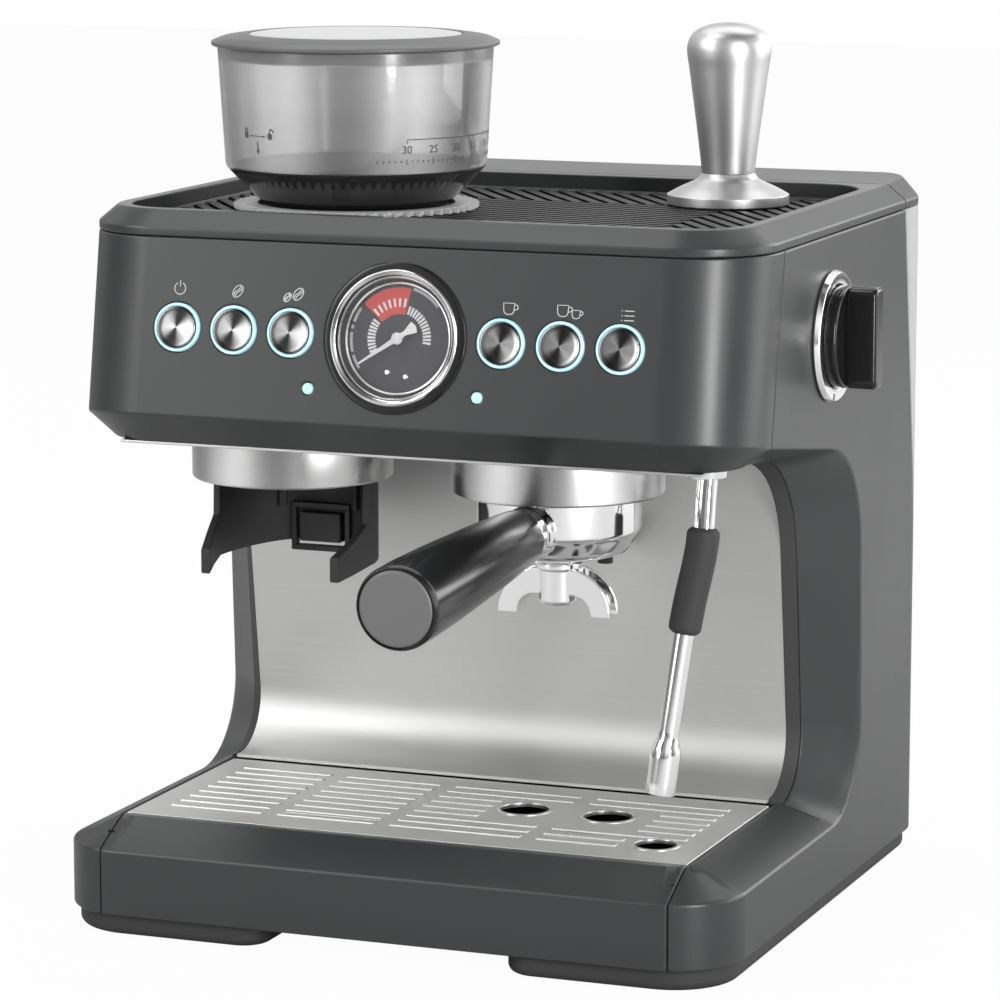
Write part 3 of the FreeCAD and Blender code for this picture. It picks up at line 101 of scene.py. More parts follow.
class Tree:
    """A node tree that is filled by name."""

    def __init__(self, tree: NodeGroup) -> None:
        """Hold the tree."""
        self.tree = tree

    @classmethod
    def group(
        cls, name: str, kind: str, inputs: dict[str, str], outputs: dict[str, str]
    ) -> tuple["Tree", Sockets]:
        """Make a node group with named sockets.

        Args:
            name: The group's name.
            kind: Shader or Geometry.
            inputs: Input names and the kinds of their sockets.
            outputs: Output names and the kinds of their sockets.

        Returns:
            The tree, and the sockets that bring its inputs.
        """
        tree = bpy.data.node_groups.new(name, f"{kind}NodeTree")
        for side, rows in (("INPUT", inputs), ("OUTPUT", outputs)):
            for label, socket in rows.items():
                tree.interface.new_socket(name=label, in_out=side, socket_type=f"NodeSocket{socket}")
        kit = cls(tree)
        return kit, kit.add("NodeGroupInput").outputs

    def add(self, kind: str, feeds: dict | None = None, **settings: object) -> bpy.types.Node:
        """Add a node, set its properties and feed its inputs.

        Args:
            kind: The node's type name.
            feeds: What goes into its inputs.
            settings: Properties to set on it.

        Returns:
            The new node.
        """
        node = self.tree.nodes.new(kind)
        for key, value in settings.items():
            setattr(node, key, value)
        self.feed(node, feeds or {})
        return node

    def out(self, kind: str, feeds: dict | None = None, **settings: object) -> Socket:
        """Add a node in the same way and return its first output."""
        return self.add(kind, feeds, **settings).outputs[0]

    def feed(self, node: bpy.types.Node, feeds: dict) -> None:
        """Link sockets into inputs, or set the inputs' own values.

        Args:
            node: The node that is fed.
            feeds: An output socket or a plain value for each input's name or place.
        """
        for name, source in feeds.items():
            socket = node.inputs[name]
            if isinstance(source, Socket):
                self.tree.links.new(source, socket)
            else:
                socket.default_value = source

    def math(self, operation: str, *sources: object) -> Socket:
        """Add a math node and return its result."""
        return self.out("ShaderNodeMath", dict(enumerate(sources)), operation=operation)

    def ramp(self, value: Socket, source: Point, target: Point, kind: str = "LINEAR") -> Socket:
        """Bring a value from one range to another.

        Args:
            value: The value.
            source: Both ends of the first range.
            target: Both ends of the second range.
            kind: How the value goes between the ends.

        Returns:
            The new value.
        """
        feeds = {"Value": value, "From Min": source[0], "From Max": source[1]}
        feeds.update({"To Min": target[0], "To Max": target[1]})
        return self.out("ShaderNodeMapRange", feeds, interpolation_type=kind)


class ShaderGroups:
    """Shader node groups that several finishes share, each built once."""

    marks = {"Fine": "Float", "Broad": "Float"}

    @classmethod
    def grain(cls) -> NodeGroup:
        """Fine marks stretched along an axis of the object, and broad smudges over them.

        Returns:
            The group.
        """
        found = bpy.data.node_groups.get("surface_grain")
        if found:
            return found
        inputs = {"Stretch": "Vector", "Smudge": "Float"}
        kit, start = Tree.group("surface_grain", "Shader", inputs, cls.marks)
        place = kit.add("ShaderNodeTexCoord").outputs["Object"]
        scaled = kit.out("ShaderNodeVectorMath", {0: place, 1: start["Stretch"]}, operation="MULTIPLY")
        fine = kit.out("ShaderNodeTexNoise", {"Vector": scaled, "Scale": 1.0, "Detail": 4.0})
        broad = kit.out("ShaderNodeTexNoise", {"Vector": place, "Scale": start["Smudge"], "Detail": 2.0})
        kit.add("NodeGroupOutput", {"Fine": fine, "Broad": broad})
        return kit.tree

    @classmethod
    def turned(cls) -> NodeGroup:
        """Rings of a lathe tool, read from the turned piece's own map, and a painted reflection that
        brightens and darkens in lobes round the axis.

        Returns:
            The group.
        """
        found = bpy.data.node_groups.get("lathe_rings")
        if found:
            return found
        kit, start = Tree.group("lathe_rings", "Shader", {"Rings": "Float", "Waves": "Float"}, cls.marks)
        split = kit.add("ShaderNodeSeparateXYZ", {0: kit.out("ShaderNodeUVMap", uv_map="turn")}).outputs
        along = kit.out("ShaderNodeCombineXYZ", {0: kit.math("MULTIPLY", split[1], start["Rings"])})
        fine = kit.out("ShaderNodeTexNoise", {"Vector": along, "Scale": 1.0, "Detail": 3.0})
        # The broad output is a painted reflection: bright and dark lobes round the axis, fixed in the colour.
        turn = kit.math("MULTIPLY", split[0], math.tau)
        painted_sheen = kit.math("SINE", kit.math("MULTIPLY", turn, start["Waves"]))
        kit.add("NodeGroupOutput", {"Fine": fine, "Broad": kit.math("MULTIPLY_ADD", painted_sheen, 0.5, 0.5)})
        return kit.tree


@dataclass(frozen=True)
class Finish:
    """What a surface is made of, with the marks that its real material shows; turned and spun grain also
    carry a painted reflection that changes round the axis.
    """

    name: str
    tint: Color
    tint_far: Color
    rough: Point
    metal: float = 0.0
    coat: float = 0.0
    coat_rough: float = 0.08
    specular: float = 0.5
    grain: Grain = Grain.SPECKLE
    stretch: Spot = (2600.0, 2600.0, 2600.0)
    smudge: float = 14.0
    rings: float = 9.0
    # Number of lobes of the painted reflection round the axis, for turned and spun grain.
    painted_sheen_waves: float = 2.0
    relief: float = 0.12
    relief_depth: float = 0.04
    clear: float = 0.0
    ior: float = 1.5
    anisotropy: float = 0.0
    glow: float = 0.0
    contrast: float = 1.0
    rough_marks: Point = (0.3, 0.7)

    def material(self) -> bpy.types.Material:
        """Build the material once and return it.

        Returns:
            The material.
        """
        found = bpy.data.materials.get(self.name)
        if found:
            return found
        made = bpy.data.materials.new(self.name)
        made.use_nodes = True
        made.diffuse_color = (*self.tint, 1.0)
        kit = Tree(made.node_tree)
        fine, broad = self._marks(kit)
        # For turned and spun grain the broad part, and so the tint mix, is a painted reflection round the
        # axis.
        weight = kit.math("MULTIPLY_ADD", broad, 0.5, kit.math("MULTIPLY", fine, 0.5))
        if self.contrast != 1.0:
            weight = kit.math("MULTIPLY_ADD", weight, self.contrast, 0.5 - 0.5 * self.contrast)
        tints = {"Factor": weight, 6: (*self.tint, 1.0), 7: (*self.tint_far, 1.0)}
        color = kit.add("ShaderNodeMix", tints, data_type="RGBA").outputs[2]
        feeds = {
            "Base Color": color,
            "Roughness": kit.ramp(weight, self.rough_marks, self.rough),
            "Metallic": self.metal,
            "Coat Weight": self.coat,
            "Coat Roughness": self.coat_rough,
            "Specular IOR Level": self.specular,
            "Transmission Weight": self.clear,
            "IOR": self.ior,
        }
        if self.relief:
            bump = {"Strength": self.relief, "Distance": self.relief_depth * MM, "Height": fine}
            feeds["Normal"] = kit.out("ShaderNodeBump", bump)
        if self.anisotropy:
            feeds["Anisotropic"] = self.anisotropy
            feeds["Tangent"] = kit.out("ShaderNodeTangent", direction_type="UV_MAP", uv_map="turn")
        if self.glow:
            feeds["Emission Color"] = color
            feeds["Emission Strength"] = self.glow
        kit.feed(made.node_tree.nodes["Principled BSDF"], feeds)
        return made

    def _marks(self, kit: Tree) -> tuple[Socket, Socket]:
        """Place the shared group that draws this finish's marks, and for turned and spun grain its painted
        reflection.

        Args:
            kit: The material's tree.

        Returns:
            The fine marks and the broad change, which for turned and spun grain is a painted reflection round
            the axis.
        """
        if self.grain in (Grain.TURNED, Grain.SPUN):
            tree, feeds = ShaderGroups.turned(), {"Rings": self.rings, "Waves": self.painted_sheen_waves}
        else:
            tree, feeds = ShaderGroups.grain(), {"Stretch": self.stretch, "Smudge": self.smudge}
        marks = kit.add("ShaderNodeGroup", feeds, node_tree=tree).outputs
        return marks["Fine"], marks["Broad"]


def grey(level: float) -> Color:
    """A tint without colour."""
    return (level, level, level)


# Paint, plastic and rubber
CHARCOAL = Finish(
    "charcoal_paint", (0.026, 0.027, 0.028), (0.033, 0.034, 0.035), (0.3, 0.38), specular=0.45, relief=0.05
)
MATT_BLACK = Finish("matt_black_plastic", (0.012, 0.012, 0.013), (0.02, 0.02, 0.021), (0.5, 0.62), relief=0.2)
GLOSS_BLACK = Finish(
    "gloss_black_plastic", grey(0.006), (0.009, 0.009, 0.01), (0.12, 0.2),
    coat=0.15, specular=0.35, relief=0.03,
)
SATIN_BLACK = Finish(
    "satin_black_plastic", grey(0.004), grey(0.007), (0.17, 0.23), specular=0.32, relief=0.02
)
CAP_GREY = Finish("cap_grey_plastic", grey(0.1), grey(0.13), (0.4, 0.5), relief=0.1)
RUBBER = Finish("dark_rubber", (0.018, 0.018, 0.019), (0.03, 0.03, 0.031), (0.62, 0.78), relief=0.3)
LID_GREY = Finish("lid_grey_plastic", (0.09, 0.09, 0.092), (0.11, 0.11, 0.112), (0.38, 0.46), relief=0.1)
PALE_PLASTIC = Finish("pale_plastic", (0.5, 0.505, 0.51), (0.56, 0.565, 0.57), (0.32, 0.4), relief=0.08)
RING_GREY = Finish("ring_grey_plastic", grey(0.42), grey(0.5), (0.4, 0.5))
BOARD = Finish("board_green", (0.02, 0.1, 0.05), (0.03, 0.14, 0.07), (0.35, 0.45), relief=0.2)

# Metal
BRUSHED = Finish(
    "brushed_steel", (0.52, 0.52, 0.515), (0.68, 0.68, 0.675), (0.27, 0.4), metal=1.0,
    grain=Grain.BRUSHED, stretch=(14.0, 1500.0, 1500.0), relief=0.16, relief_depth=0.02,
)
PLATE_STEEL = replace(BRUSHED, name="plate_steel", rough=(0.46, 0.56))
# Base colour runs from dark grey to near white in six lobes round the axis: painted reflection streaks over
# the real lathe rings.
TURNED_STEEL = Finish(
    "turned_steel", grey(0.26), (0.92, 0.92, 0.915), (0.22, 0.32), metal=1.0, grain=Grain.TURNED,
    painted_sheen_waves=6.0, anisotropy=0.6, contrast=1.5, relief=0.08, relief_depth=0.02,
)
# Base colour runs from near black to mid grey in two lobes round the axis: a painted bow-tie reflection of
# dark and bright wedges.
SPUN_STEEL = Finish(
    "spun_steel", grey(0.02), grey(0.46), (0.2, 0.28), metal=1.0, grain=Grain.SPUN,
    anisotropy=0.9, contrast=2.4, relief=0.05, relief_depth=0.02,
)
CHROME = Finish("chrome", (0.7, 0.7, 0.71), (0.76, 0.76, 0.77), (0.05, 0.09), metal=1.0, relief=0.0)
# Base colour changes a little in two lobes round the axis: a faint painted reflection.
SATIN_ALLOY = Finish(
    "satin_alloy", (0.5, 0.5, 0.505), (0.58, 0.58, 0.585), (0.38, 0.44), metal=1.0, grain=Grain.TURNED,
    relief=0.05, relief_depth=0.02,
)
# Base colour runs from mid grey to pale grey in six lobes round the axis: painted reflection streaks.
POLISHED = Finish(
    "polished_alloy", grey(0.36), grey(0.8), (0.1, 0.15), metal=1.0, grain=Grain.TURNED,
    painted_sheen_waves=6.0, contrast=1.5, relief=0.0,
)
BRASS = Finish("brass", (0.55, 0.38, 0.15), (0.65, 0.46, 0.2), (0.25, 0.35), metal=1.0)
SATIN_DARK = Finish("dark_metal", (0.08, 0.08, 0.085), (0.12, 0.12, 0.125), (0.35, 0.45), metal=0.8)

# Clear pieces
# The clear wall's tint runs from grey to white in six lobes round the axis: a painted reflection.
SMOKED = Finish(
    "smoked_clear_plastic", grey(0.32), grey(1.0), (0.05, 0.09), clear=0.8, relief=0.0,
    grain=Grain.TURNED, rings=0.02, painted_sheen_waves=6.0, contrast=1.7,
)
DARK_SMOKED = Finish(
    "dark_smoked_plastic", (0.2, 0.2, 0.205), (0.26, 0.26, 0.265), (0.03, 0.06), clear=0.95, relief=0.0
)
SEAL_SMOKED = Finish("seal_smoked_plastic", grey(0.42), grey(0.5), (0.2, 0.26), clear=0.75, relief=0.0)
GLASS = Finish("gauge_glass", grey(0.96), grey(0.98), (0.01, 0.02), clear=1.0, relief=0.0)
TANK = Finish("frosted_tank", (0.62, 0.63, 0.63), (0.7, 0.71, 0.71), (0.3, 0.36), clear=0.55, relief=0.05)

# Print and light
PRINT = Finish("pale_print", grey(0.5), grey(0.56), (0.5, 0.6), relief=0.05)
DARK_PRINT = Finish("dark_print", grey(0.03), grey(0.05), (0.5, 0.6), relief=0.05)
WHITE_PRINT = Finish("white_print", grey(0.84), grey(0.9), (0.5, 0.6), relief=0.05)
RED_PRINT = Finish("red_print", (0.62, 0.06, 0.05), (0.7, 0.085, 0.07), (0.45, 0.55), relief=0.05)
DIAL = Finish("dial_face", (0.03, 0.03, 0.031), (0.045, 0.045, 0.046), (0.4, 0.5), relief=0.08)
RING_LIGHT = Finish(
    "ring_light", (0.2, 0.56, 0.7), (0.66, 0.8, 0.84), (0.2, 0.3),
    relief=0.0, glow=0.3, smudge=60.0, contrast=1.6,
)
LAMP_LIGHT = Finish("lamp_light", (0.34, 0.66, 0.66), (0.42, 0.72, 0.72), (0.25, 0.35), relief=0.0, glow=0.4)


class Workshop:
    """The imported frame, and the ways in which a piece is made and set on it."""

    def __init__(self, frame: dict) -> None:
        """Keep the nodes, and which body and slot each of them has.
        """
        self.nodes = frame["nodes"]
        record = frame["record"]
        members = record["behaviour"]["bodies"]
        self.body_of = {node: body for body, names in members.items() for node in names}
        self.slot_of = {row["node"]: row["material_slot"] for row in record["subparts"]}

    def dress(self, finish: Finish, *names: str) -> None:
        """Give nodes that keep their own shape a finish.

        Args:
            finish: The finish of all of them.
            names: The nodes.
        """
        for name in names:
            mesh = self.nodes[name].data
            mesh.materials.clear()
            mesh.materials.append(finish.material())
            LOG.info("dressed %s", name)

    def carry(self, piece: Piece, finish: Finish, node: str, instead: bool = False) -> Piece:
        """Set a new piece on the body of a node.

        Args:
            piece: The new piece, in its place.
            finish: Its finish.
            node: The node whose body it takes.
            instead: Whether it replaces the node.

        Returns:
            The piece.
        """
        if not piece.data.materials:
            piece.data.materials.append(finish.material())
        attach(piece, self.body_of[node])
        if instead:
            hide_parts(node)
        LOG.info("made %s on %s, %d faces", piece.name, self.body_of[node], len(piece.data.polygons))
        return piece

    def turn(
        self,
        name: str,
        profile: Sequence[Corner],
        frame: Matrix,
        finish: Finish,
        node: str,
        instead: bool = False,
        steps: int = 96,
        ring: bool = False,
    ) -> Piece:
        """Turn a piece on a lathe and set it on the body of a node.

        Args:
            name: The piece's name.
            profile: Radius, height and rounding of each corner.
            frame: Where the axis stands.
            finish: The piece's finish.
            node: The node whose body it takes.
            instead: Whether it replaces the node.
            steps: Segments round the axis.
            ring: Whether the profile closes on itself, off the axis.

        Returns:
            The piece.
        """
        return self.carry(Shapes.turned(name, profile, frame, steps, ring), finish, node, instead)

    def soften(
        self,
        node: str,
        finish: Finish,
        width: float,
        cutter: Piece | None = None,
        angle: float = 28.0,
        merge: bool = True,
    ) -> Piece:
        """Replace a node by a copy of it with rounded edges.

        Args:
            node: The node that is copied.
            finish: Its finish.
            width: Width of the rounded edge.
            cutter: A shape that is cut away before the rounding, and removed afterwards.
            angle: Edges sharper than this, in degrees, are rounded.
            merge: Whether flat neighbouring faces become one, which faces with holes in them do not bear.

        Returns:
            The new piece.
        """
        shape = bmesh.new()
        shape.from_mesh(self.nodes[node].data)
        bmesh.ops.remove_doubles(shape, verts=shape.verts, dist=MERGE_DISTANCE * MM)
        if merge:
            bmesh.ops.dissolve_limit(shape, angle_limit=FLAT_ANGLE, verts=shape.verts, edges=shape.edges)
        piece = Shapes.from_bmesh(f"{node}_skin", shape)
        if cutter:
            Shapes.cut(piece, cutter)
        Shapes.round_edges(piece, width, angle)
        return self.carry(piece, finish, node, instead=True)


class Shapes:
    """Meshes made from outlines, profiles and lines."""

    @staticmethod
    def link(name: str, mesh: bpy.types.ID) -> Piece:
        """Put a mesh in the scene as an object at the origin.

        Args:
            name: The object's name.
            mesh: The mesh, or what else the object holds.

        Returns:
            The object.
        """
        made = bpy.data.objects.new(name, mesh)
        bpy.context.scene.collection.objects.link(made)
        return made

    @classmethod
    def from_bmesh(cls, name: str, shape: bmesh.types.BMesh) -> Piece:
        """Turn an edit mesh into an object and free it.

        Args:
            name: The object's name.
            shape: The edit mesh.

        Returns:
            The object.
        """
        mesh = bpy.data.meshes.new(name)
        shape.to_mesh(mesh)
        shape.free()
        return cls.link(name, mesh)

    @staticmethod
    def place(shape: bmesh.types.BMesh, frame: Matrix) -> bmesh.types.BMesh:
        """Turn the faces of an edit mesh outwards and bring it from millimetres to its place.

        Args:
            shape: The edit mesh.
            frame: Where it goes.

        Returns:
            The same edit mesh.
        """
        bmesh.ops.recalc_face_normals(shape, faces=shape.faces)
        shape.transform(frame @ Matrix.Scale(MM, 4))
        return shape

    @staticmethod
    def smooth(piece: Piece) -> Piece:
        """Shade a piece smooth, apart from its sharp edges.

        Args:
            piece: The piece.

        Returns:
            The same piece.
        """
        piece.data.shade_smooth()
        piece.data.set_sharp_from_angle(angle=SHARP_ANGLE)
        return piece

    @staticmethod
    def skin(shape: bmesh.types.BMesh, rows: Sequence[Sequence[bmesh.types.BMVert]]) -> None:
        """Join rows of points by faces all round and close both ends.

        Args:
            shape: The edit mesh.
            rows: Rows with the same number of points.
        """
        for low, high in zip(rows, rows[1:]):
            for index in range(len(low)):
                shape.faces.new((low[index - 1], low[index], high[index], high[index - 1]))
        shape.faces.new(rows[0])
        shape.faces.new(rows[-1])

    @staticmethod
    def settle(piece: Piece) -> Piece:
        """Apply a piece's modifiers, so that it is a plain mesh.

        Args:
            piece: The piece.

        Returns:
            The same piece.
        """
        graph = bpy.context.evaluated_depsgraph_get()
        mesh = bpy.data.meshes.new_from_object(piece.evaluated_get(graph))
        piece.modifiers.clear()
        old = piece.data
        piece.data = mesh
        mesh.name = piece.name
        bpy.data.meshes.remove(old)
        return piece

    @classmethod
    def cut(cls, piece: Piece, cutter: Piece) -> Piece:
        """Cut a shape away from a piece, and remove the shape.

        Args:
            piece: The piece.
            cutter: The shape.

        Returns:
            The same piece.
        """
        cutting = piece.modifiers.new("cut", "BOOLEAN")
        cutting.object = cutter
        cutting.operation = "DIFFERENCE"
        cutting.solver = "EXACT"
        cls.settle(piece)
        bpy.data.objects.remove(cutter)
        return piece

    @classmethod
    def round_edges(cls, piece: Piece, width: float, angle: float) -> Piece:
        """Round the sharp edges of a piece and even out its shading.

        Args:
            piece: The piece.
            width: Width of the rounded edge.
            angle: Edges sharper than this, in degrees, are rounded.

        Returns:
            The piece as a plain mesh.
        """
        piece.data.shade_smooth()
        bevel = piece.modifiers.new("edges", "BEVEL")
        bevel.width = width * MM
        bevel.segments = EDGE_STEPS
        bevel.limit_method = "ANGLE"
        bevel.angle_limit = math.radians(angle)
        bevel.use_clamp_overlap = False
        bevel.miter_outer = "MITER_ARC"
        even = piece.modifiers.new("even", "WEIGHTED_NORMAL")
        even.keep_sharp = False
        even.weight = EDGE_WEIGHT
        return cls.settle(piece)

    @staticmethod
    def filleted(corners: Sequence[Corner], closed: bool, steps: int = 5) -> list[Point]:
        """Round the corners of a flat line.

        Args:
            corners: Two coordinates and the rounding's reach along each side of the corner.
            closed: Whether the line closes on itself.
            steps: Points on each rounded corner.

        Returns:
            The points of the rounded line.
        """
        points: list[Point] = []
        count = len(corners)
        for index, (a, b, reach) in enumerate(corners):
            inner = closed or 0 < index < count - 1
            if not reach or not inner:
                points.append((a, b))
                continue
            here = Vector((a, b))
            before = Vector(corners[index - 1][:2]) - here
            after = Vector(corners[(index + 1) % count][:2]) - here
            start = here + before.normalized() * min(reach, before.length * LONGEST_FILLET)
            end = here + after.normalized() * min(reach, after.length * LONGEST_FILLET)
            for step in range(steps + 1):
                share = step / steps
                spot = start * (1 - share) ** 2 + here * (2 * share * (1 - share)) + end * share**2
                points.append((spot.x, spot.y))
        return points

    @staticmethod
    def flowing(points: Sequence[Point], steps: int = 6) -> list[Corner]:
        """A smooth line through points, for a profile with no sharp corners.

        Args:
            points: The points that the line goes through.
            steps: Points on each stretch.

        Returns:
            Corners with no rounding.
        """
        ends = [points[0], *points, points[-1]]
        line: list[Corner] = []
        for a, b, c, e in zip(ends, ends[1:], ends[2:], ends[3:]):
            for step in range(steps):
                s = step / steps
                w = (-s + 2 * s * s - s**3, 2 - 5 * s * s + 3 * s**3, s + 4 * s * s - 3 * s**3, s**3 - s * s)
                spot = [sum(k * p[axis] for k, p in zip(w, (a, b, c, e))) / 2 for axis in (0, 1)]
                line.append((spot[0], spot[1], 0.0))
        line.append((*points[-1], 0.0))
        return line

    @staticmethod
    def turns(steps: int) -> list[tuple[float, float]]:
        """Cosine and sine of even steps round a circle."""
        return [(math.cos(math.tau * k / steps), math.sin(math.tau * k / steps)) for k in range(steps)]

    @classmethod
    def turned(
        cls, name: str, corners: Sequence[Corner], frame: Matrix, steps: int = 96, ring: bool = False
    ) -> Piece:
        """A piece turned on a lathe, with a map of angle and path for its finish.

        Args:
            name: The piece's name.
            corners: Radius, height and rounding of each corner of the profile.
            frame: Where the axis stands; it runs along the frame's Z.
            steps: Segments round the axis.
            ring: Whether the profile closes on itself, off the axis.

        Returns:
            The piece.
        """
        profile = cls.filleted(corners, ring)
        lengths = [0.0]
        for before, after in zip(profile, profile[1:] + profile[:1]):
            lengths.append(lengths[-1] + math.dist(before, after))
        shape = bmesh.new()
        rings = []
        for radius, height in profile:
            if radius < 1e-4:
                rings.append([shape.verts.new((0, 0, height))] * steps)
            else:
                rings.append([shape.verts.new((radius * x, radius * y, height)) for x, y in cls.turns(steps)])
        layer = shape.loops.layers.uv.new("turn")
        last = len(profile) if ring else len(profile) - 1
        for row in range(last):
            low, high = rings[row], rings[(row + 1) % len(rings)]
            for step in range(steps):
                after = (step + 1) % steps
                spots = [(low[step], step, row), (low[after], step + 1, row)]
                spots += [(high[after], step + 1, row + 1), (high[step], step, row + 1)]
                kept = [spot for k, spot in enumerate(spots) if spot[0] is not spots[k - 1][0]]
                if len(kept) < 3:
                    continue
                face = shape.faces.new([spot[0] for spot in kept])
                for loop, (_, turn, path) in zip(face.loops, kept):
                    loop[layer].uv = (turn / steps, lengths[path])
        return cls.smooth(cls.from_bmesh(name, cls.place(shape, frame)))

    @classmethod
    def bowed(cls, name: str, path: Sequence[Vector], radii: Sequence[float], steps: int = 40) -> Piece:
        """A round bar along a path, with its own radius at every point and closed ends.

        Args:
            name: The piece's name.
            path: Points of the path.
            radii: Radius at each point.
            steps: Segments round the path.

        Returns:
            The piece.
        """
        shape = bmesh.new()
        rows = []
        for index, (spot, radius) in enumerate(zip(path, radii)):
            way = (path[min(index + 1, len(path) - 1)] - path[max(index - 1, 0)]).normalized()
            side = way.cross(Vector((0, 1, 0))).normalized()
            across = way.cross(side)
            spokes = [side * a + across * b for a, b in cls.turns(steps)]
            rows.append([shape.verts.new(spot + spoke * radius) for spoke in spokes])
        cls.skin(shape, rows)
        return cls.smooth(cls.from_bmesh(name, cls.place(shape, Matrix.Identity(4))))

    @classmethod
    def prism(
        cls, name: str, outline: Sequence[Point], frame: Matrix, low: float, high: float, edge: float = 0.0
    ) -> Piece:
        """A straight block from a flat outline.

        Args:
            name: The piece's name.
            outline: Corners of the outline in the frame's XY plane.
            frame: Where the outline lies.
            low: Height of the lower face along the frame's Z.
            high: Height of the upper face.
            edge: Width of the rounding of all sharp edges.

        Returns:
            The piece.
        """
        shape = bmesh.new()
        cls.skin(shape, [[shape.verts.new((x, y, z)) for x, y in outline] for z in (low, high)])
        piece = cls.from_bmesh(name, cls.place(shape, frame))
        if edge:
            return cls.round_edges(piece, edge, BLOCK_ANGLE)
        return cls.smooth(piece)

    @classmethod
    def loft(cls, name: str, loops: Sequence[Sequence[Spot]]) -> Piece:
        """A closed shape through loops with the same number of points.

        Args:
            name: The piece's name.
            loops: The loops, from one end to the other.

        Returns:
            The piece.
        """
        shape = bmesh.new()
        cls.skin(shape, [[shape.verts.new(spot) for spot in loop] for loop in loops])
        return cls.from_bmesh(name, cls.place(shape, Matrix.Identity(4)))

    @classmethod
    def lines(cls, name: str, paths: Iterable[Line]) -> Piece:
        """An object of bare edges, for a tree that sweeps them.

        Args:
            name: The object's name.
            paths: Points of each line, and whether it closes.

        Returns:
            The object.
        """
        spots: list[Spot] = []
        edges: list[tuple[int, int]] = []
        for path, closes in paths:
            first = len(spots)
            spots.extend(path)
            edges.extend((first + k, first + k + 1) for k in range(len(path) - 1))
            if closes:
                edges.append((len(spots) - 1, first))
        mesh = bpy.data.meshes.new(name)
        mesh.from_pydata(spots, edges, [])
        return cls.link(name, mesh)

    @staticmethod
    def joined(name: str, pieces: Sequence[Piece]) -> Piece:
        """Join several pieces into the first one and rename it.

        Args:
            name: The new name.
            pieces: The pieces.

        Returns:
            The first piece, which holds them all.
        """
        first = pieces[0]
        chosen = {"selected_objects": pieces, "selected_editable_objects": pieces}
        with bpy.context.temp_override(active_object=first, object=first, **chosen):
            bpy.ops.object.join()
        first.name = name
        first.data.name = name
        return first


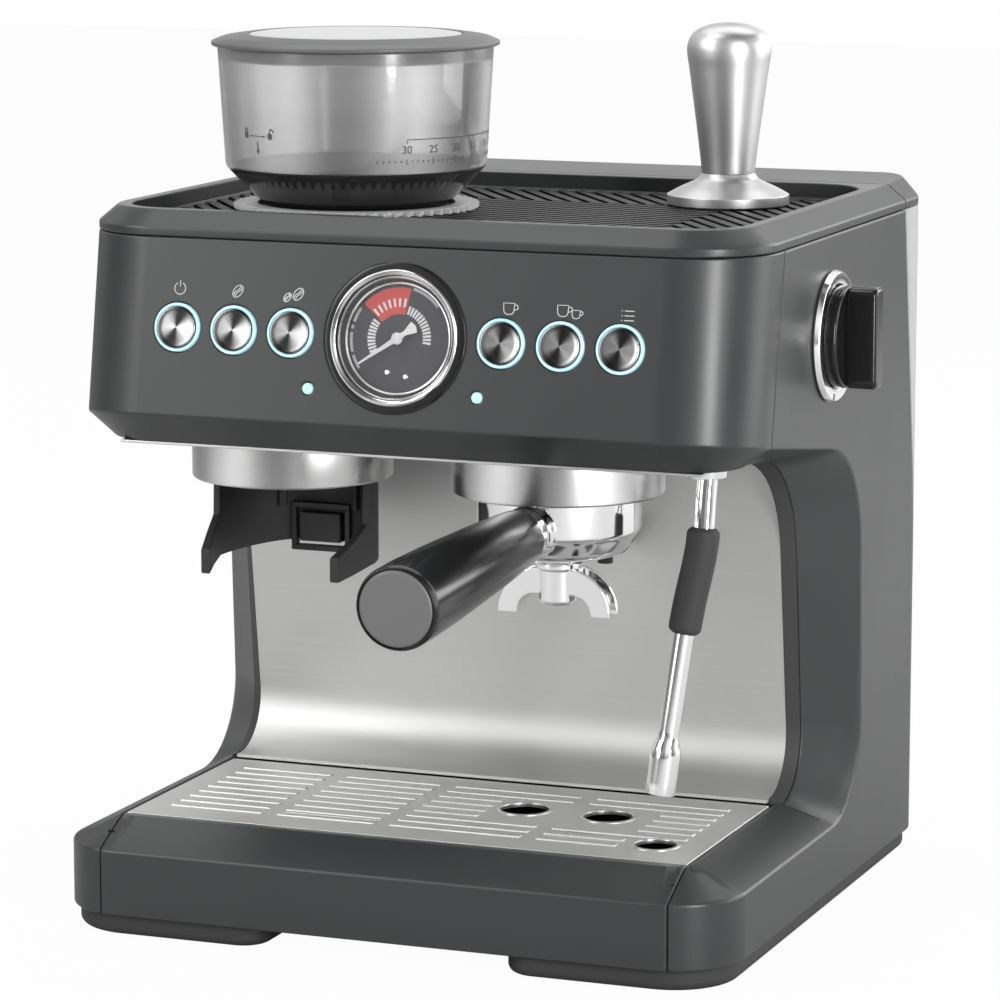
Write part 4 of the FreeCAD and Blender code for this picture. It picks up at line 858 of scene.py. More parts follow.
class Repeats:
    """Geometry Nodes trees for what repeats or follows a line."""

    @staticmethod
    def _start(name: str, inputs: dict[str, str]) -> tuple[Tree, Sockets]:
        """Make a modifier tree with named inputs between its geometry and its material.

        Args:
            name: The tree's name.
            inputs: Input names and the kinds of their sockets.

        Returns:
            The tree, and the sockets that bring its inputs.
        """
        shape = {"Geometry": "Geometry"}
        kit, start = Tree.group(name, "Geometry", {**shape, **inputs, "Material": "Material"}, shape)
        kit.tree.is_modifier = True
        return kit, start

    @staticmethod
    def _end(kit: Tree, start: Sockets, geometry: Socket) -> NodeGroup:
        """Realize the instances, set the material and close the tree.

        Args:
            kit: The tree.
            start: The sockets that bring its inputs.
            geometry: What the tree has made.

        Returns:
            The finished tree.
        """
        real = kit.out("GeometryNodeRealizeInstances", {0: geometry})
        paint = kit.out("GeometryNodeSetMaterial", {"Geometry": real, "Material": start["Material"]})
        kit.add("NodeGroupOutput", {0: paint})
        return kit.tree

    @classmethod
    def _copies(cls, kit: Tree, start: Sockets, points: Socket, **more: Socket) -> NodeGroup:
        """Set copies of the template on points and close the tree.

        Args:
            kit: The tree.
            start: The sockets that bring its inputs.
            points: Where the copies go.
            more: What else each copy gets.

        Returns:
            The finished tree.
        """
        info = kit.add("GeometryNodeObjectInfo", {"Object": start["Template"]})
        feeds = {"Points": points, "Instance": info.outputs["Geometry"], **more}
        return cls._end(kit, start, kit.out("GeometryNodeInstanceOnPoints", feeds))

    @classmethod
    def swept_tree(cls) -> NodeGroup:
        """A bar with a flat top and leaning flanks along every line.

        Returns:
            The tree.
        """
        found = bpy.data.node_groups.get("swept_lines")
        if found:
            return found
        kit, start = cls._start("swept_lines", {"Height": "Float", "Foot": "Float", "Crown": "Float"})
        curve = kit.out("GeometryNodeMeshToCurve", {0: start["Geometry"]})
        level = kit.out("GeometryNodeSetCurveNormal", {"Curve": curve}, mode="Z_UP")
        sizes = {"Height": start["Height"], "Bottom Width": start["Foot"], "Top Width": start["Crown"]}
        shape = "GeometryNodeCurvePrimitiveQuadrilateral"
        profile = kit.out(shape, {**sizes, "Offset": 0.0}, mode="TRAPEZOID")
        sweep = {"Curve": level, "Profile Curve": profile, "Fill Caps": True}
        return cls._end(kit, start, kit.out("GeometryNodeCurveToMesh", sweep))

    @classmethod
    def ring_tree(cls) -> NodeGroup:
        """Copies of a template round the Z axis, each turned with its place.

        Returns:
            The tree.
        """
        found = bpy.data.node_groups.get("ring_of_copies")
        if found:
            return found
        sizes = {"Template": "Object", "Count": "Int", "Start": "Float", "Step": "Float"}
        kit, start = cls._start("ring_of_copies", sizes)
        points = kit.out("GeometryNodePoints", {"Count": start["Count"]})
        turn = kit.math("MULTIPLY_ADD", kit.out("GeometryNodeInputIndex"), start["Step"], start["Start"])
        return cls._copies(kit, start, points, Rotation=kit.out("ShaderNodeCombineXYZ", {2: turn}))

    @classmethod
    def spread_tree(cls) -> NodeGroup:
        """Copies of a template on every point of the object.

        Returns:
            The tree.
        """
        found = bpy.data.node_groups.get("copies_on_points")
        if found:
            return found
        kit, start = cls._start("copies_on_points", {"Template": "Object"})
        return cls._copies(kit, start, start["Geometry"])

    @staticmethod
    def _run(piece: Piece, tree: NodeGroup, frame: Matrix, finish: Finish, **values: object) -> Piece:
        """Run a tree on an object in millimetres and keep the result as a plain mesh in its place.

        Args:
            piece: The object.
            tree: The tree.
            frame: Where the result lies.
            finish: The result's finish.
            values: Inputs by name.

        Returns:
            The piece.
        """
        modifier = piece.modifiers.new("repeat", "NODES")
        modifier.node_group = tree
        keys = {row.name: row.identifier for row in tree.interface.items_tree if row.in_out == "INPUT"}
        for name, value in {**values, "Material": finish.material()}.items():
            modifier[keys[name]] = value
        Shapes.settle(piece)
        shape = bmesh.new()
        shape.from_mesh(piece.data)
        bmesh.ops.remove_doubles(shape, verts=shape.verts, dist=1e-4)
        Shapes.place(shape, frame).to_mesh(piece.data)
        shape.free()
        return Shapes.smooth(piece)

    @classmethod
    def sweep(
        cls,
        name: str,
        paths: Iterable[Line],
        frame: Matrix,
        finish: Finish,
        height: float,
        foot: float,
        crown: float | None = None,
    ) -> Piece:
        """Bars along flat lines.

        Args:
            name: The piece's name.
            paths: Points of each line in the frame, and whether it closes.
            frame: Where the lines lie; the bars rise both ways along its Z.
            finish: The bars' finish.
            height: Height of a bar.
            foot: Its width at the bottom.
            crown: Its width at the top, the same as the foot where none is given.

        Returns:
            The piece.
        """
        sizes = {"Height": height, "Foot": foot, "Crown": foot if crown is None else crown}
        return cls._run(Shapes.lines(name, paths), cls.swept_tree(), frame, finish, **sizes)

    @classmethod
    def ring(
        cls, name: str, template: Piece, count: int, turns: Point, frame: Matrix, finish: Finish
    ) -> Piece:
        """Copies of a template round an axis.

        Args:
            name: The piece's name.
            template: What is copied, in millimetres, at angle 0; it is removed afterwards.
            count: Number of copies.
            turns: Angle of the first one and angle between two, in degrees.
            frame: Where the axis stands.
            finish: The copies' finish.

        Returns:
            The piece.
        """
        start, step = (math.radians(turn) for turn in turns)
        values = {"Template": template, "Count": count, "Start": start, "Step": step}
        piece = Shapes.link(name, bpy.data.meshes.new(name))
        cls._run(piece, cls.ring_tree(), frame, finish, **values)
        bpy.data.objects.remove(template)
        return piece

    @classmethod
    def spread(
        cls, name: str, template: Piece, spots: Sequence[Spot], frame: Matrix, finish: Finish
    ) -> Piece:
        """Copies of a template at given places.

        Args:
            name: The piece's name.
            template: What is copied, in millimetres; it is removed afterwards.
            spots: Places of the copies.
            frame: Where the places are counted from.
            finish: The copies' finish.

        Returns:
            The piece.
        """
        piece = Shapes.lines(name, [([spot], False) for spot in spots])
        cls._run(piece, cls.spread_tree(), frame, finish, Template=template)
        bpy.data.objects.remove(template)
        return piece


def upright(x: float, y: float, z: float = 0.0) -> Matrix:
    """A frame at a point of the machine with its Z up."""
    return Matrix.Translation(Vector((x, y, z)) * MM)


def to_front(x: float, y: float, z: float) -> Matrix:
    """A frame at a point whose Z runs to the front and whose Y runs up."""
    return upright(x, y, z) @ Matrix.Rotation(math.radians(90), 4, "X")


def to_right(x: float, y: float, z: float) -> Matrix:
    """A frame at a point whose Z runs to the right, X to the back and Y up."""
    return upright(x, y, z) @ Matrix(((0, 0, 1, 0), (1, 0, 0, 0), (0, 1, 0, 0), (0, 0, 0, 1)))


def arc(radius: float, start: float, end: float, steps: int, centre: Point = (0.0, 0.0)) -> list[Spot]:
    """Points on a flat arc, with its angles in degrees."""
    turns = [math.radians(start + (end - start) * k / steps) for k in range(steps + 1)]
    return [(centre[0] + radius * math.cos(t), centre[1] + radius * math.sin(t), 0.0) for t in turns]


def rounded_box(width: float, depth: float, corner: float, steps: int = 6) -> list[Point]:
    """Corners of a rectangle with round corners about the origin.

    Args:
        width: Its size along X.
        depth: Its size along Y.
        corner: Radius of its corners.
        steps: Stretches on each round corner.

    Returns:
        The corners.
    """
    points: list[Point] = []
    for turn, (sx, sy) in enumerate(((1, 1), (-1, 1), (-1, -1), (1, -1))):
        middle = (sx * (width / 2 - corner), sy * (depth / 2 - corner))
        points += [(x, y) for x, y, _ in arc(corner, 90 * turn, 90 * turn + 90, steps, middle)]
    return points


def within(value: float, low: float, high: float) -> float:
    """The share of the way from one value to another, from 0 to 1."""
    return min(max((value - low) / (high - low), 0.0), 1.0)


@dataclass
class FrontPlane:
    """The leaning front panel as a flat frame with its origin at the middle of the gauge."""

    level: float = 279.5
    setback: float = -132.076
    run: float = 13.9
    rise: float = 79.3

    def frame(self, x: float = 0.0) -> Matrix:
        """The frame at a place across the panel: X across, Y up along it, Z out of it."""
        turn = Matrix.Rotation(math.radians(90) - math.atan2(self.run, self.rise), 4, "X")
        return upright(0, self.setback, self.level) @ turn @ upright(x, 0)


@dataclass
class SideOpening:
    """The hollow over the drip tray, as its edge runs from the backplate out to the side panels.

    A corner holds depth, height, its reach along the line before and after it, and its fullness.
    """

    inner: float = 135.5
    outer: float = 163.0
    ahead: float = -330.0
    inner_foot: tuple[float, ...] = (24.0, 54.23, 29.5, 29.5, 0.66)
    inner_top: tuple[float, ...] = (1.4, 222.0, 58.0, 81.0, 1.0)
    outer_foot: tuple[float, ...] = (50.5, 40.03, 43.0, 43.0, 0.71)
    outer_top: tuple[float, ...] = (46.0, 213.0, 46.3, 46.3, 0.765)
    outer_rise: float = 0.1463
    cut_shares: tuple[float, ...] = (-0.3, 0.0, 0.25, 0.5, 0.75, 1.0, 1.3)
    band_share: float = 0.185
    band_depth: float = 3.0
    plate_half: float = 135.3
    plate_front: float = -8.4
    plate_low: float = 53.8
    plate_gap: float = 0.3
    sheet: float = 1.5
    sheet_reach: float = 1.7
    steps: int = 14

    def _corner(self, before: Point, corner: Sequence[float], after: Point) -> list[Point]:
        """Points on a rounded corner between two neighbours.

        Args:
            before: The point before the corner.
            corner: The corner.
            after: The point after it.

        Returns:
            The points.
        """
        here = Vector(corner[:2])
        start = here + (Vector(before) - here).normalized() * corner[2]
        end = here + (Vector(after) - here).normalized() * corner[3]
        points = []
        for step in range(self.steps + 1):
            t = step / self.steps
            w = ((1 - t) ** 2, 2 * corner[4] * t * (1 - t), t * t)
            spot = (start * w[0] + here * w[1] + end * w[2]) / sum(w)
            points.append((spot.x, spot.y))
        return points

    def _outline(self, foot: Sequence[float], top: Sequence[float], rise: float) -> list[Point]:
        """One outline in depth and height, from the front below to the front above.

        Args:
            foot: The lower corner.
            top: The upper corner.
            rise: How steeply the upper edge rises to the front.

        Returns:
            The points.
        """
        low = (self.ahead, foot[1])
        high = (self.ahead, top[1] + (top[0] - self.ahead) * rise)
        return [low, *self._corner(low, foot, top[:2]), *self._corner(foot[:2], top, high), high]

    def line(self, share: float) -> list[Point]:
        """The outline at a share of the way from the backplate (0) to the outer face (1).

        Args:
            share: The share.

        Returns:
            Depth and height of each point.
        """
        near = self._outline(self.inner_foot, self.inner_top, 0.0)
        far = self._outline(self.outer_foot, self.outer_top, self.outer_rise)
        return [(a + (c - a) * share, b + (e - b) * share) for (a, b), (c, e) in zip(near, far)]

    def _across(self, share: float, side: int) -> float:
        """How far out the outline of a share lies."""
        return side * (self.inner + (self.outer - self.inner) * share)

    def cutter(self, side: int) -> Piece:
        """The hollow beside the backplate, to be cut from a side panel.

        Args:
            side: -1 for the left, 1 for the right.

        Returns:
            The hollow.
        """
        shares = self.cut_shares
        loops = [[(self._across(share, side), y, z) for y, z in self.line(share)] for share in shares]
        return Shapes.loft("opening_cutter", loops)

    def band(self, name: str, side: int) -> Piece:
        """The black band between the backplate and a side panel.

        Args:
            name: The piece's name.
            side: -1 for the left, 1 for the right.

        Returns:
            The band.
        """
        share = self.band_share
        near, far = self.line(0.0), self.line(share)
        loops = []
        for index in range(1, len(near) - 1):
            along = Vector(near[index + 1]) - Vector(near[index - 1])
            back = Vector((along.y, -along.x)).normalized() * self.band_depth
            face = [(self._across(0.0, side), *near[index]), (self._across(share, side), *far[index])]
            loops.append([*face, *((x, y + back.x, z + back.y) for x, y, z in reversed(face))])
        return Shapes.smooth(Shapes.loft(name, loops))

    def plate(self) -> Piece:
        """The steel backplate, curved forward at its foot.

        Returns:
            The plate.
        """
        foot, top = self.inner_foot, self.inner_top
        lean = (foot[0] - top[0]) / (top[1] - foot[1])
        front, level, high = self.plate_front, self.plate_low, top[1] - self.plate_gap
        depth = foot[0] + lean * (foot[1] - level)
        end = (top[0] + lean * self.plate_gap, high)
        face = [(front, level), *self._corner((front, level), (depth, level, *foot[2:]), end), end]
        low = (front, level - self.sheet)
        reach = (foot[2] + self.sheet_reach, foot[3] + self.sheet_reach, foot[4])
        rear_end = (end[0] + self.sheet, high)
        rear = [low, *self._corner(low, (depth + self.sheet, low[1], *reach), rear_end), rear_end]
        outline = [*face, *reversed(rear)]
        return Shapes.prism("steel_backplate", outline, to_right(0, 0, 0), -self.plate_half, self.plate_half)


@dataclass
class Housing:
    """Base, side panels, front panel, cap, tank and the plates between them."""

    shop: Workshop
    tray_half: Point = (148.0, 108.2)
    tray_middle: Point = (0.0, -1.9)
    tray_corner: float = 25.0
    tray_floor: float = 323.4
    groove: float = 1.7
    rib_pitch: float = 7.7
    rib_foot: float = 4.6
    rib_crown: float = 1.6
    rib_lean: float = 54.0
    rib_rows: int = 60
    rib_reach: int = 400
    rib_least: float = 4.0
    rib_edge: float = 3.0
    field_side: float = 94.0
    field_back: float = 55.0
    hopper_axis: Point = (-71.5, -6.0)
    hopper_bore: float = 39.4
    hopper_clear: float = 57.0
    lid_span: Point = (116.7, 150.0)
    lid_levels: Point = (323.4, 331.0)
    lid_reach: float = 6.0
    lid_rise: float = 2.2
    under_box: Spot = (300.0, 180.0, 1.0)
    under_middle: Point = (0.0, -44.5)
    under_levels: Point = (215.0, 223.7)
    side_edge: float = 1.3
    panel_edge: float = 0.9
    cap_edge: float = 0.8
    plate_edge: float = 0.3
    opening: SideOpening = field(default_factory=SideOpening)

    def build(self) -> None:
        """Make and dress all pieces of the housing."""
        shop = self.shop
        self._side("left_side_panel", -1)
        self._side("right_side_panel", 1)
        shop.carry(self.opening.plate(), PLATE_STEEL, "backplate", instead=True)
        for name in ("front_panel", "drip_tray_front"):
            shop.soften(name, CHARCOAL, self.panel_edge)
        self._tank_lid()
        shop.dress(MATT_BLACK, "base_pan", "rear_cover", "power_inlet", "drip_tray_pan", "pump")
        shop.dress(BRUSHED, "chassis_frame")
        shop.dress(TANK, "water_tank")
        shop.dress(RUBBER, "rubber_feet", "water_hose", "group_gasket")
        shop.dress(BOARD, "control_board")
        shop.dress(POLISHED, "case_screws")
        around, place = rounded_box(*self.under_box), upright(*self.under_middle)
        below = Shapes.prism("plate_cutter", around, place, *self.under_levels)
        shop.soften("underside_plate", BRUSHED, self.plate_edge, below)
        self._cap()

    def _side(self, name: str, side: int) -> None:
        """One side panel, cut back to the opening, and the black band where it meets the backplate."""
        self.shop.soften(name, CHARCOAL, self.side_edge, self.opening.cutter(side))
        self.shop.carry(self.opening.band(f"{name}_band", side), MATT_BLACK, name)

    def _tank_lid(self) -> None:
        """The tank's lid, whose top rises a little towards the back."""
        lid = self.shop.soften("tank_lid", CHARCOAL, self.panel_edge)
        for vertex in lid.data.vertices:
            share = within(vertex.co.z / MM, *self.lid_levels) * within(vertex.co.y / MM, *self.lid_span)
            vertex.co.y += self.lid_reach * share * MM
            vertex.co.z += self.lid_rise * share * MM

    def _cap(self) -> None:
        """The cap with the grooves of its cup tray, and the ribs between them."""
        cap = self.shop.soften("top_cap", CHARCOAL, self.cap_edge)
        floor, low = self.tray_floor, self.tray_floor - self.groove
        wide, deep = (2 * (side - 1.0) for side in self.tray_half)
        outline = rounded_box(wide, deep, self.tray_corner - 1.0)
        Shapes.cut(cap, Shapes.prism("tray_pocket", outline, upright(*self.tray_middle), low, floor + 2))
        middle = floor - self.groove / 2
        paths = [([(*a, middle), (*b, middle)], False) for a, b in self._ribs()]
        sizes = (self.groove, self.rib_foot, self.rib_crown)
        ribs = Repeats.sweep("cup_tray_ribs", paths, Matrix.Identity(4), MATT_BLACK, *sizes)
        self.shop.carry(ribs, MATT_BLACK, "top_cap")
        bore, clear = self.hopper_bore, self.hopper_clear
        seat = [(bore, low, 0), (clear, low, 0), (clear, floor, 0.5), (bore, floor, 0)]
        self.shop.turn("hopper_seat", seat, upright(*self.hopper_axis), MATT_BLACK, "top_cap", ring=True)

    def _ribs(self) -> list[tuple[Point, Point]]:
        """Both ends of every rib of the cup tray.

        Returns:
            The two ends of each.
        """
        half_x, half_y = (side - 2.0 for side in self.tray_half)
        low_y, high_y = self.tray_middle[1] - half_y, self.tray_middle[1] + half_y
        side, back = self.field_side, self.field_back
        ribs = self._hatch((-side, low_y, side, back), self.rib_lean)
        rear, right = (-half_x, back, half_x, high_y), (side, low_y, half_x, back)
        for zone in (rear, right, (-half_x, low_y, -side, back)):
            ribs += self._hatch(zone, -self.rib_lean)
        return ribs

    def _hatch(self, zone: tuple[float, float, float, float], lean: float) -> list[tuple[Point, Point]]:
        """Parallel lines across a zone, clear of the hopper and the tray's round corners.

        Args:
            zone: Lowest and highest corner of the zone.
            lean: Direction of the lines, in degrees from X.

        Returns:
            Both ends of each line.
        """
        way = Vector((math.cos(math.radians(lean)), math.sin(math.radians(lean))))
        across = Vector((-way.y, way.x))
        low, high = Vector(zone[:2]), Vector(zone[2:])
        found = []
        for row in range(-self.rib_rows, self.rib_rows + 1):
            start = across * row * self.rib_pitch
            inside: list[Vector] = []
            for step in range(-self.rib_reach, self.rib_reach + 1):
                spot = start + way * step
                if self._free(spot, low, high):
                    inside.append(spot)
                elif inside:
                    found.append((inside[0], inside[-1]))
                    inside = []
        return [(tuple(a), tuple(b)) for a, b in found if (a - b).length > self.rib_least]

    def _free(self, spot: Vector, low: Vector, high: Vector) -> bool:
        """Whether a rib may stand at a spot of a zone.

        Args:
            spot: The spot.
            low: Lowest corner of the zone.
            high: Its highest corner.

        Returns:
            Whether it may.
        """
        if not (low.x <= spot.x <= high.x and low.y <= spot.y <= high.y):
            return False
        if (spot - Vector(self.hopper_axis)).length < self.hopper_clear:
            return False
        corner = self.tray_corner
        x = abs(spot.x) - (self.tray_half[0] - corner)
        y = abs(spot.y - self.tray_middle[1]) - (self.tray_half[1] - corner)
        return not (x > 0 and y > 0 and math.hypot(x, y) > corner - self.rib_edge)


@dataclass
class Controls:
    """The six buttons with their light rings and printed icons, and the two lamps."""

    shop: Workshop
    plane: FrontPlane = field(default_factory=FrontPlane)
    first: float = 50.4
    pitch: float = 27.8
    line: float = 0.36
    print_height: float = 0.12
    icon_heights: tuple[float, ...] = (17.6, 17.5, 17.0, 15.4, 15.2, 14.8)
    icon_shifts: tuple[float, ...] = (0.2, 1.0, 1.2, 2.8, 2.2, 2.6)
    bean_lean: float = 52.0
    lamp_x: float = 40.5
    lamp_along: float = -24.4
    painted_shine_turn: float = -65.0

    def build(self) -> None:
        """Make all pieces of the controls."""
        names = ("power_button", "single_dose_button", "double_dose_button")
        names += ("single_cup_button", "double_cup_button", "menu_button")
        places = [step * self.pitch - self.first for step in (-2, -1, 0)]
        places += [step * self.pitch + self.first for step in (0, 1, 2)]
        for name, x in zip(names, places):
            self._cap(name, x)
        ring = [(9.6, -2.5, 0), (11.0, -2.5, 0), (11.0, 1.2, 0.4), (9.9, 1.2, 0.3), (9.6, 0.8, 0.1)]
        template = Shapes.turned("ring_template", ring, TEMPLATE, steps=56, ring=True)
        self._spread("light_rings", template, [(x, 0.0, 0.0) for x in places], RING_LIGHT, "button_rings")
        dome = [(0, 0.7, 0), (1.6, 0.6, 0.5), (2.5, 0.15, 0.4), (2.5, -3.0, 0), (0, -3.0, 0)]
        template = Shapes.turned("lamp_template", dome, TEMPLATE, steps=40)
        spots = [(side * self.lamp_x, self.lamp_along, 0.0) for side in (-1, 1)]
        self._spread("lamp_domes", template, spots, LAMP_LIGHT, "indicator_lights")
        self._icons(places)

    def _cap(self, name: str, x: float) -> None:
        """One dished button of spun steel.

        Args:
            name: The button's node.
            x: Its place across the panel.
        """
        profile = [(0, 1.7, 0), (7.4, 1.85, 0.8), (8.9, 2.1, 0.3), (9.35, 1.7, 0.3), (9.35, 0.9, 0)]
        profile += [(8.6, 0.8, 0), (8.6, -6.0, 0), (0, -6.0, 0)]
        # Each cap is turned about its axis so that its painted dark and bright reflection wedges lie at a set
        # angle.
        here = self.plane.frame(x) @ Matrix.Rotation(math.radians(self.painted_shine_turn), 4, "Z")
        self.shop.turn(f"{name}_cap", profile, here, SPUN_STEEL, name, instead=True, steps=64)

    def _spread(self, name: str, template: Piece, spots: Sequence[Spot], finish: Finish, node: str) -> None:
        """Set copies of a template on the panel in place of a node."""
        copies = Repeats.spread(name, template, spots, self.plane.frame(), finish)
        self.shop.carry(copies, finish, node, instead=True)

    def _icons(self, places: Sequence[float]) -> None:
        """The printed icons above the buttons.

        Args:
            places: Places of the buttons across the panel.
        """
        drawings = (
            self._power(),
            self._bean((0, 0), 1.0),
            self._bean((-3.6, -1.2), 0.72) + self._bean((1.6, 0.4), 1.0),
            self._cup((0, 0), 1.0),
            self._cup((-2.0, 0.4), 1.0) + self._cup((4.2, -0.9), 0.74),
            self._rows(),
        )
        paths = []
        level = self.print_height / 2
        for x, along, shift, drawing in zip(places, self.icon_heights, self.icon_shifts, drawings):
            for points, closes in drawing:
                paths.append(([(x + shift + a, along + b, level) for a, b, _ in points], closes))
        icons = Repeats.sweep("button_icons", paths, self.plane.frame(), PRINT, self.print_height, self.line)
        self.shop.carry(icons, PRINT, "front_panel")

    @staticmethod
    def _power() -> list[Line]:
        """An open circle with a stroke."""
        return [(arc(2.7, 118, 422, 28), False), ([(0, 0.9, 0), (0, 3.6, 0)], False)]

    def _bean(self, middle: Point, size: float) -> list[Line]:
        """A coffee bean with its slit.

        Args:
            middle: Its middle.
            size: Its scale.

        Returns:
            Its lines.
        """
        lean = math.radians(self.bean_lean)
        way, across = (math.cos(lean), math.sin(lean)), (-math.sin(lean), math.cos(lean))

        def at(a: float, b: float) -> Spot:
            """A point of the bean from its own axes."""
            x = middle[0] + size * (a * way[0] + b * across[0])
            return (x, middle[1] + size * (a * way[1] + b * across[1]), 0.0)

        drawn: list[Line] = [([at(3.1 * x, 2.0 * y) for x, y in Shapes.turns(28)], True)]
        for shift in (-0.45, 0.45):
            drawn.append(([at(-2.6 + 0.52 * k, shift + 0.35 * math.sin(k * 0.63)) for k in range(11)], False))
        return drawn

    @staticmethod
    def _cup(middle: Point, size: float) -> list[Line]:
        """A cup with its handle.

        Args:
            middle: Its middle.
            size: Its scale.

        Returns:
            Its lines.
        """
        left = [(-2.6, 2.5), (-2.4, -0.8), (-1.9, -1.9), (-0.9, -2.4)]
        wall = left + [(-a, b) for a, b in reversed(left)]
        loop = [(2.6, 1.7), (3.9, 1.8), (4.3, 1.0), (4.0, -0.1), (2.5, -0.5)]
        x, y = middle
        return [([(x + size * a, y + size * b, 0.0) for a, b in line], line is wall) for line in (wall, loop)]

    @staticmethod
    def _rows() -> list[Line]:
        """Three rows of a list, each with its dot.

        Returns:
            Their lines.
        """
        drawn: list[Line] = []
        for level in (2.1, 0.0, -2.1):
            for start, end in ((-1.6, 2.9), (-3.0, -2.5)):
                drawn.append(([(start, level, 0), (end, level, 0)], False))
        return drawn


@dataclass
class PressureGauge:
    """The round gauge in the middle of the front panel."""

    shop: Workshop
    plane: FrontPlane = field(default_factory=FrontPlane)
    face: float = -6.0
    print_height: float = 0.12
    bar_ring: Point = (11.4, 15.2)
    red_bars: Point = (14.2, 18.0)
    red_ring: Point = (11.0, 23.0)
    red_turn: Point = (79.0, 140.0)
    arc_radius: float = 23.0
    arc_line: float = 1.3
    arc_spans: tuple[Point, ...] = ((146, 163), (167, 171), (175, 197), (201, 217), (40, 76))
    screw_spots: tuple[Point, ...] = ((-4.7, -15.2), (4.2, -16.8))
    needle_angle: float = 214.0
    needle_reach: float = 21.5
    needle_level: float = -3.4

    @property
    def here(self) -> Matrix:
        """The frame on the gauge's axis."""
        return self.plane.frame()

    def build(self) -> None:
        """Make all pieces of the gauge."""
        shop, here = self.shop, self.here
        shop.dress(DIAL, "gauge_dial")
        shop.dress(GLASS, "gauge_glass")
        bezel = [(29.3, -6.9, 0), (31.0, -6.9, 0), (31.0, 0.3, 0), (34.0, 0.3, 0.1), (34.0, 0.7, 0.3)]
        bezel += [(33.0, 1.2, 0.4), (29.3, 1.2, 0.1)]
        shop.turn("gauge_bezel", bezel, here, GLOSS_BLACK, "gauge_case", ring=True)
        cup = [(0, -20.0, 0), (31.0, -20.0, 1.0), (31.0, -6.95, 0), (29.2, -6.95, 0), (29.2, -7.0, 0)]
        shop.turn("gauge_cup", [*cup, (0, -7.0, 0)], here, MATT_BLACK, "gauge_case", instead=True)
        rim = [(30.5, 1.2, 0), (30.5, 1.9, 0.5), (29.7, 2.5, 0.4), (28.7, 2.2, 0.4), (27.9, 1.7, 0.3)]
        shop.turn(
            "gauge_rim", [*rim, (27.9, 1.2, 0)], here, POLISHED, "gauge_ring", instead=True, ring=True
        )
        well = [(24.0, -5.95, 0.1), (28.8, -5.95, 0), (28.8, -0.95, 0), (27.8, -0.95, 0.1), (25.6, -4.4, 0.2)]
        shop.turn("gauge_well", [*well, (24.9, -4.5, 0.2)], here, GLOSS_BLACK, "gauge_case", ring=True)
        upper = [(26.9, -2.0, 0.1), (27.6, -0.98, 0.1), (27.0, -0.98, 0.1), (26.5, -1.7, 0.1)]
        lower = [(24.1, -4.6, 0.1), (25.5, -4.38, 0.1), (25.1, -3.9, 0.2), (24.2, -4.1, 0.2)]
        steps = [Shapes.turned("liner_step", step, here, ring=True) for step in (upper, lower)]
        shop.carry(Shapes.joined("gauge_liner", steps), POLISHED, "gauge_ring")
        self._print()
        self._needle()

    def _print(self) -> None:
        """The red sector, the bars, the broken arc and the two screws of the dial."""
        here = self.here
        low, high = self.face, self.face + self.print_height
        inner, outer = (arc(radius, *self.red_turn, 20) for radius in self.red_ring)
        sector = [(x, y) for x, y, _ in (*inner, *reversed(outer))]
        red = Shapes.prism("gauge_red_sector", sector, here, low, high)
        self.shop.carry(red, RED_PRINT, "gauge_dial")
        groups = (
            ("left", self.bar_ring, high, 11, (212.0, -6.4)),
            ("right", self.bar_ring, high, 13, (72.6, -6.55)),
            ("red", self.red_bars, high + self.print_height, 7, (135.5, -8.7)),
        )
        bars = []
        for label, (start, end), rise, count, turns in groups:
            bar = [(start, -0.42), (end, -0.55), (end, 0.55), (start, 0.42)]
            template = Shapes.prism("bar_template", bar, TEMPLATE, low, rise)
            bars.append(Repeats.ring(f"gauge_bars_{label}", template, count, turns, here, WHITE_PRINT))
        self.shop.carry(Shapes.joined("gauge_bars", bars), WHITE_PRINT, "gauge_dial")
        level = self.face + self.print_height / 2
        curves = [arc(self.arc_radius, start, end, 10) for start, end in self.arc_spans]
        paths = [([(x, y, level) for x, y, _ in curve], False) for curve in curves]
        arcs = Repeats.sweep("gauge_arcs", paths, here, PRINT, self.print_height, self.arc_line)
        self.shop.carry(arcs, PRINT, "gauge_dial")
        dome = [(0, 1.0, 0), (1.0, 0.85, 0.4), (1.6, 0.0, 0), (0, 0.0, 0)]
        template = Shapes.turned("screw_template", dome, TEMPLATE, steps=24)
        spots = [(*spot, self.face) for spot in self.screw_spots]
        self.shop.carry(Repeats.spread("gauge_screws", template, spots, here, CHROME), CHROME, "gauge_dial")

    def _needle(self) -> None:
        """The needle with its fishtail and hub."""
        here = self.here @ Matrix.Rotation(math.radians(self.needle_angle), 4, "Z")
        level, low = self.needle_level, self.face - 0.9
        half = [(self.needle_reach, 0.32), (2.0, 1.1), (-2.0, 1.2), (-4.5, 1.0), (-9.6, 2.8)]
        blade = [(half[0][0], -half[0][1]), *half, (-10.6, 0.0), *((x, -y) for x, y in reversed(half[1:]))]
        flat = Shapes.prism("needle_blade", blade, here, level, level + 0.5)
        hub = [(0, level + 1.3, 0), (1.1, level + 1.2, 0.3), (2.7, level + 0.5, 0.4), (2.7, level - 0.1, 0)]
        hub += [(1.0, level - 0.1, 0), (1.0, low, 0), (0, low, 0)]
        boss = Shapes.turned("needle_hub", hub, here, steps=40)
        pointer = Shapes.joined("gauge_pointer", [flat, boss])
        self.shop.carry(pointer, WHITE_PRINT, "gauge_needle", instead=True)


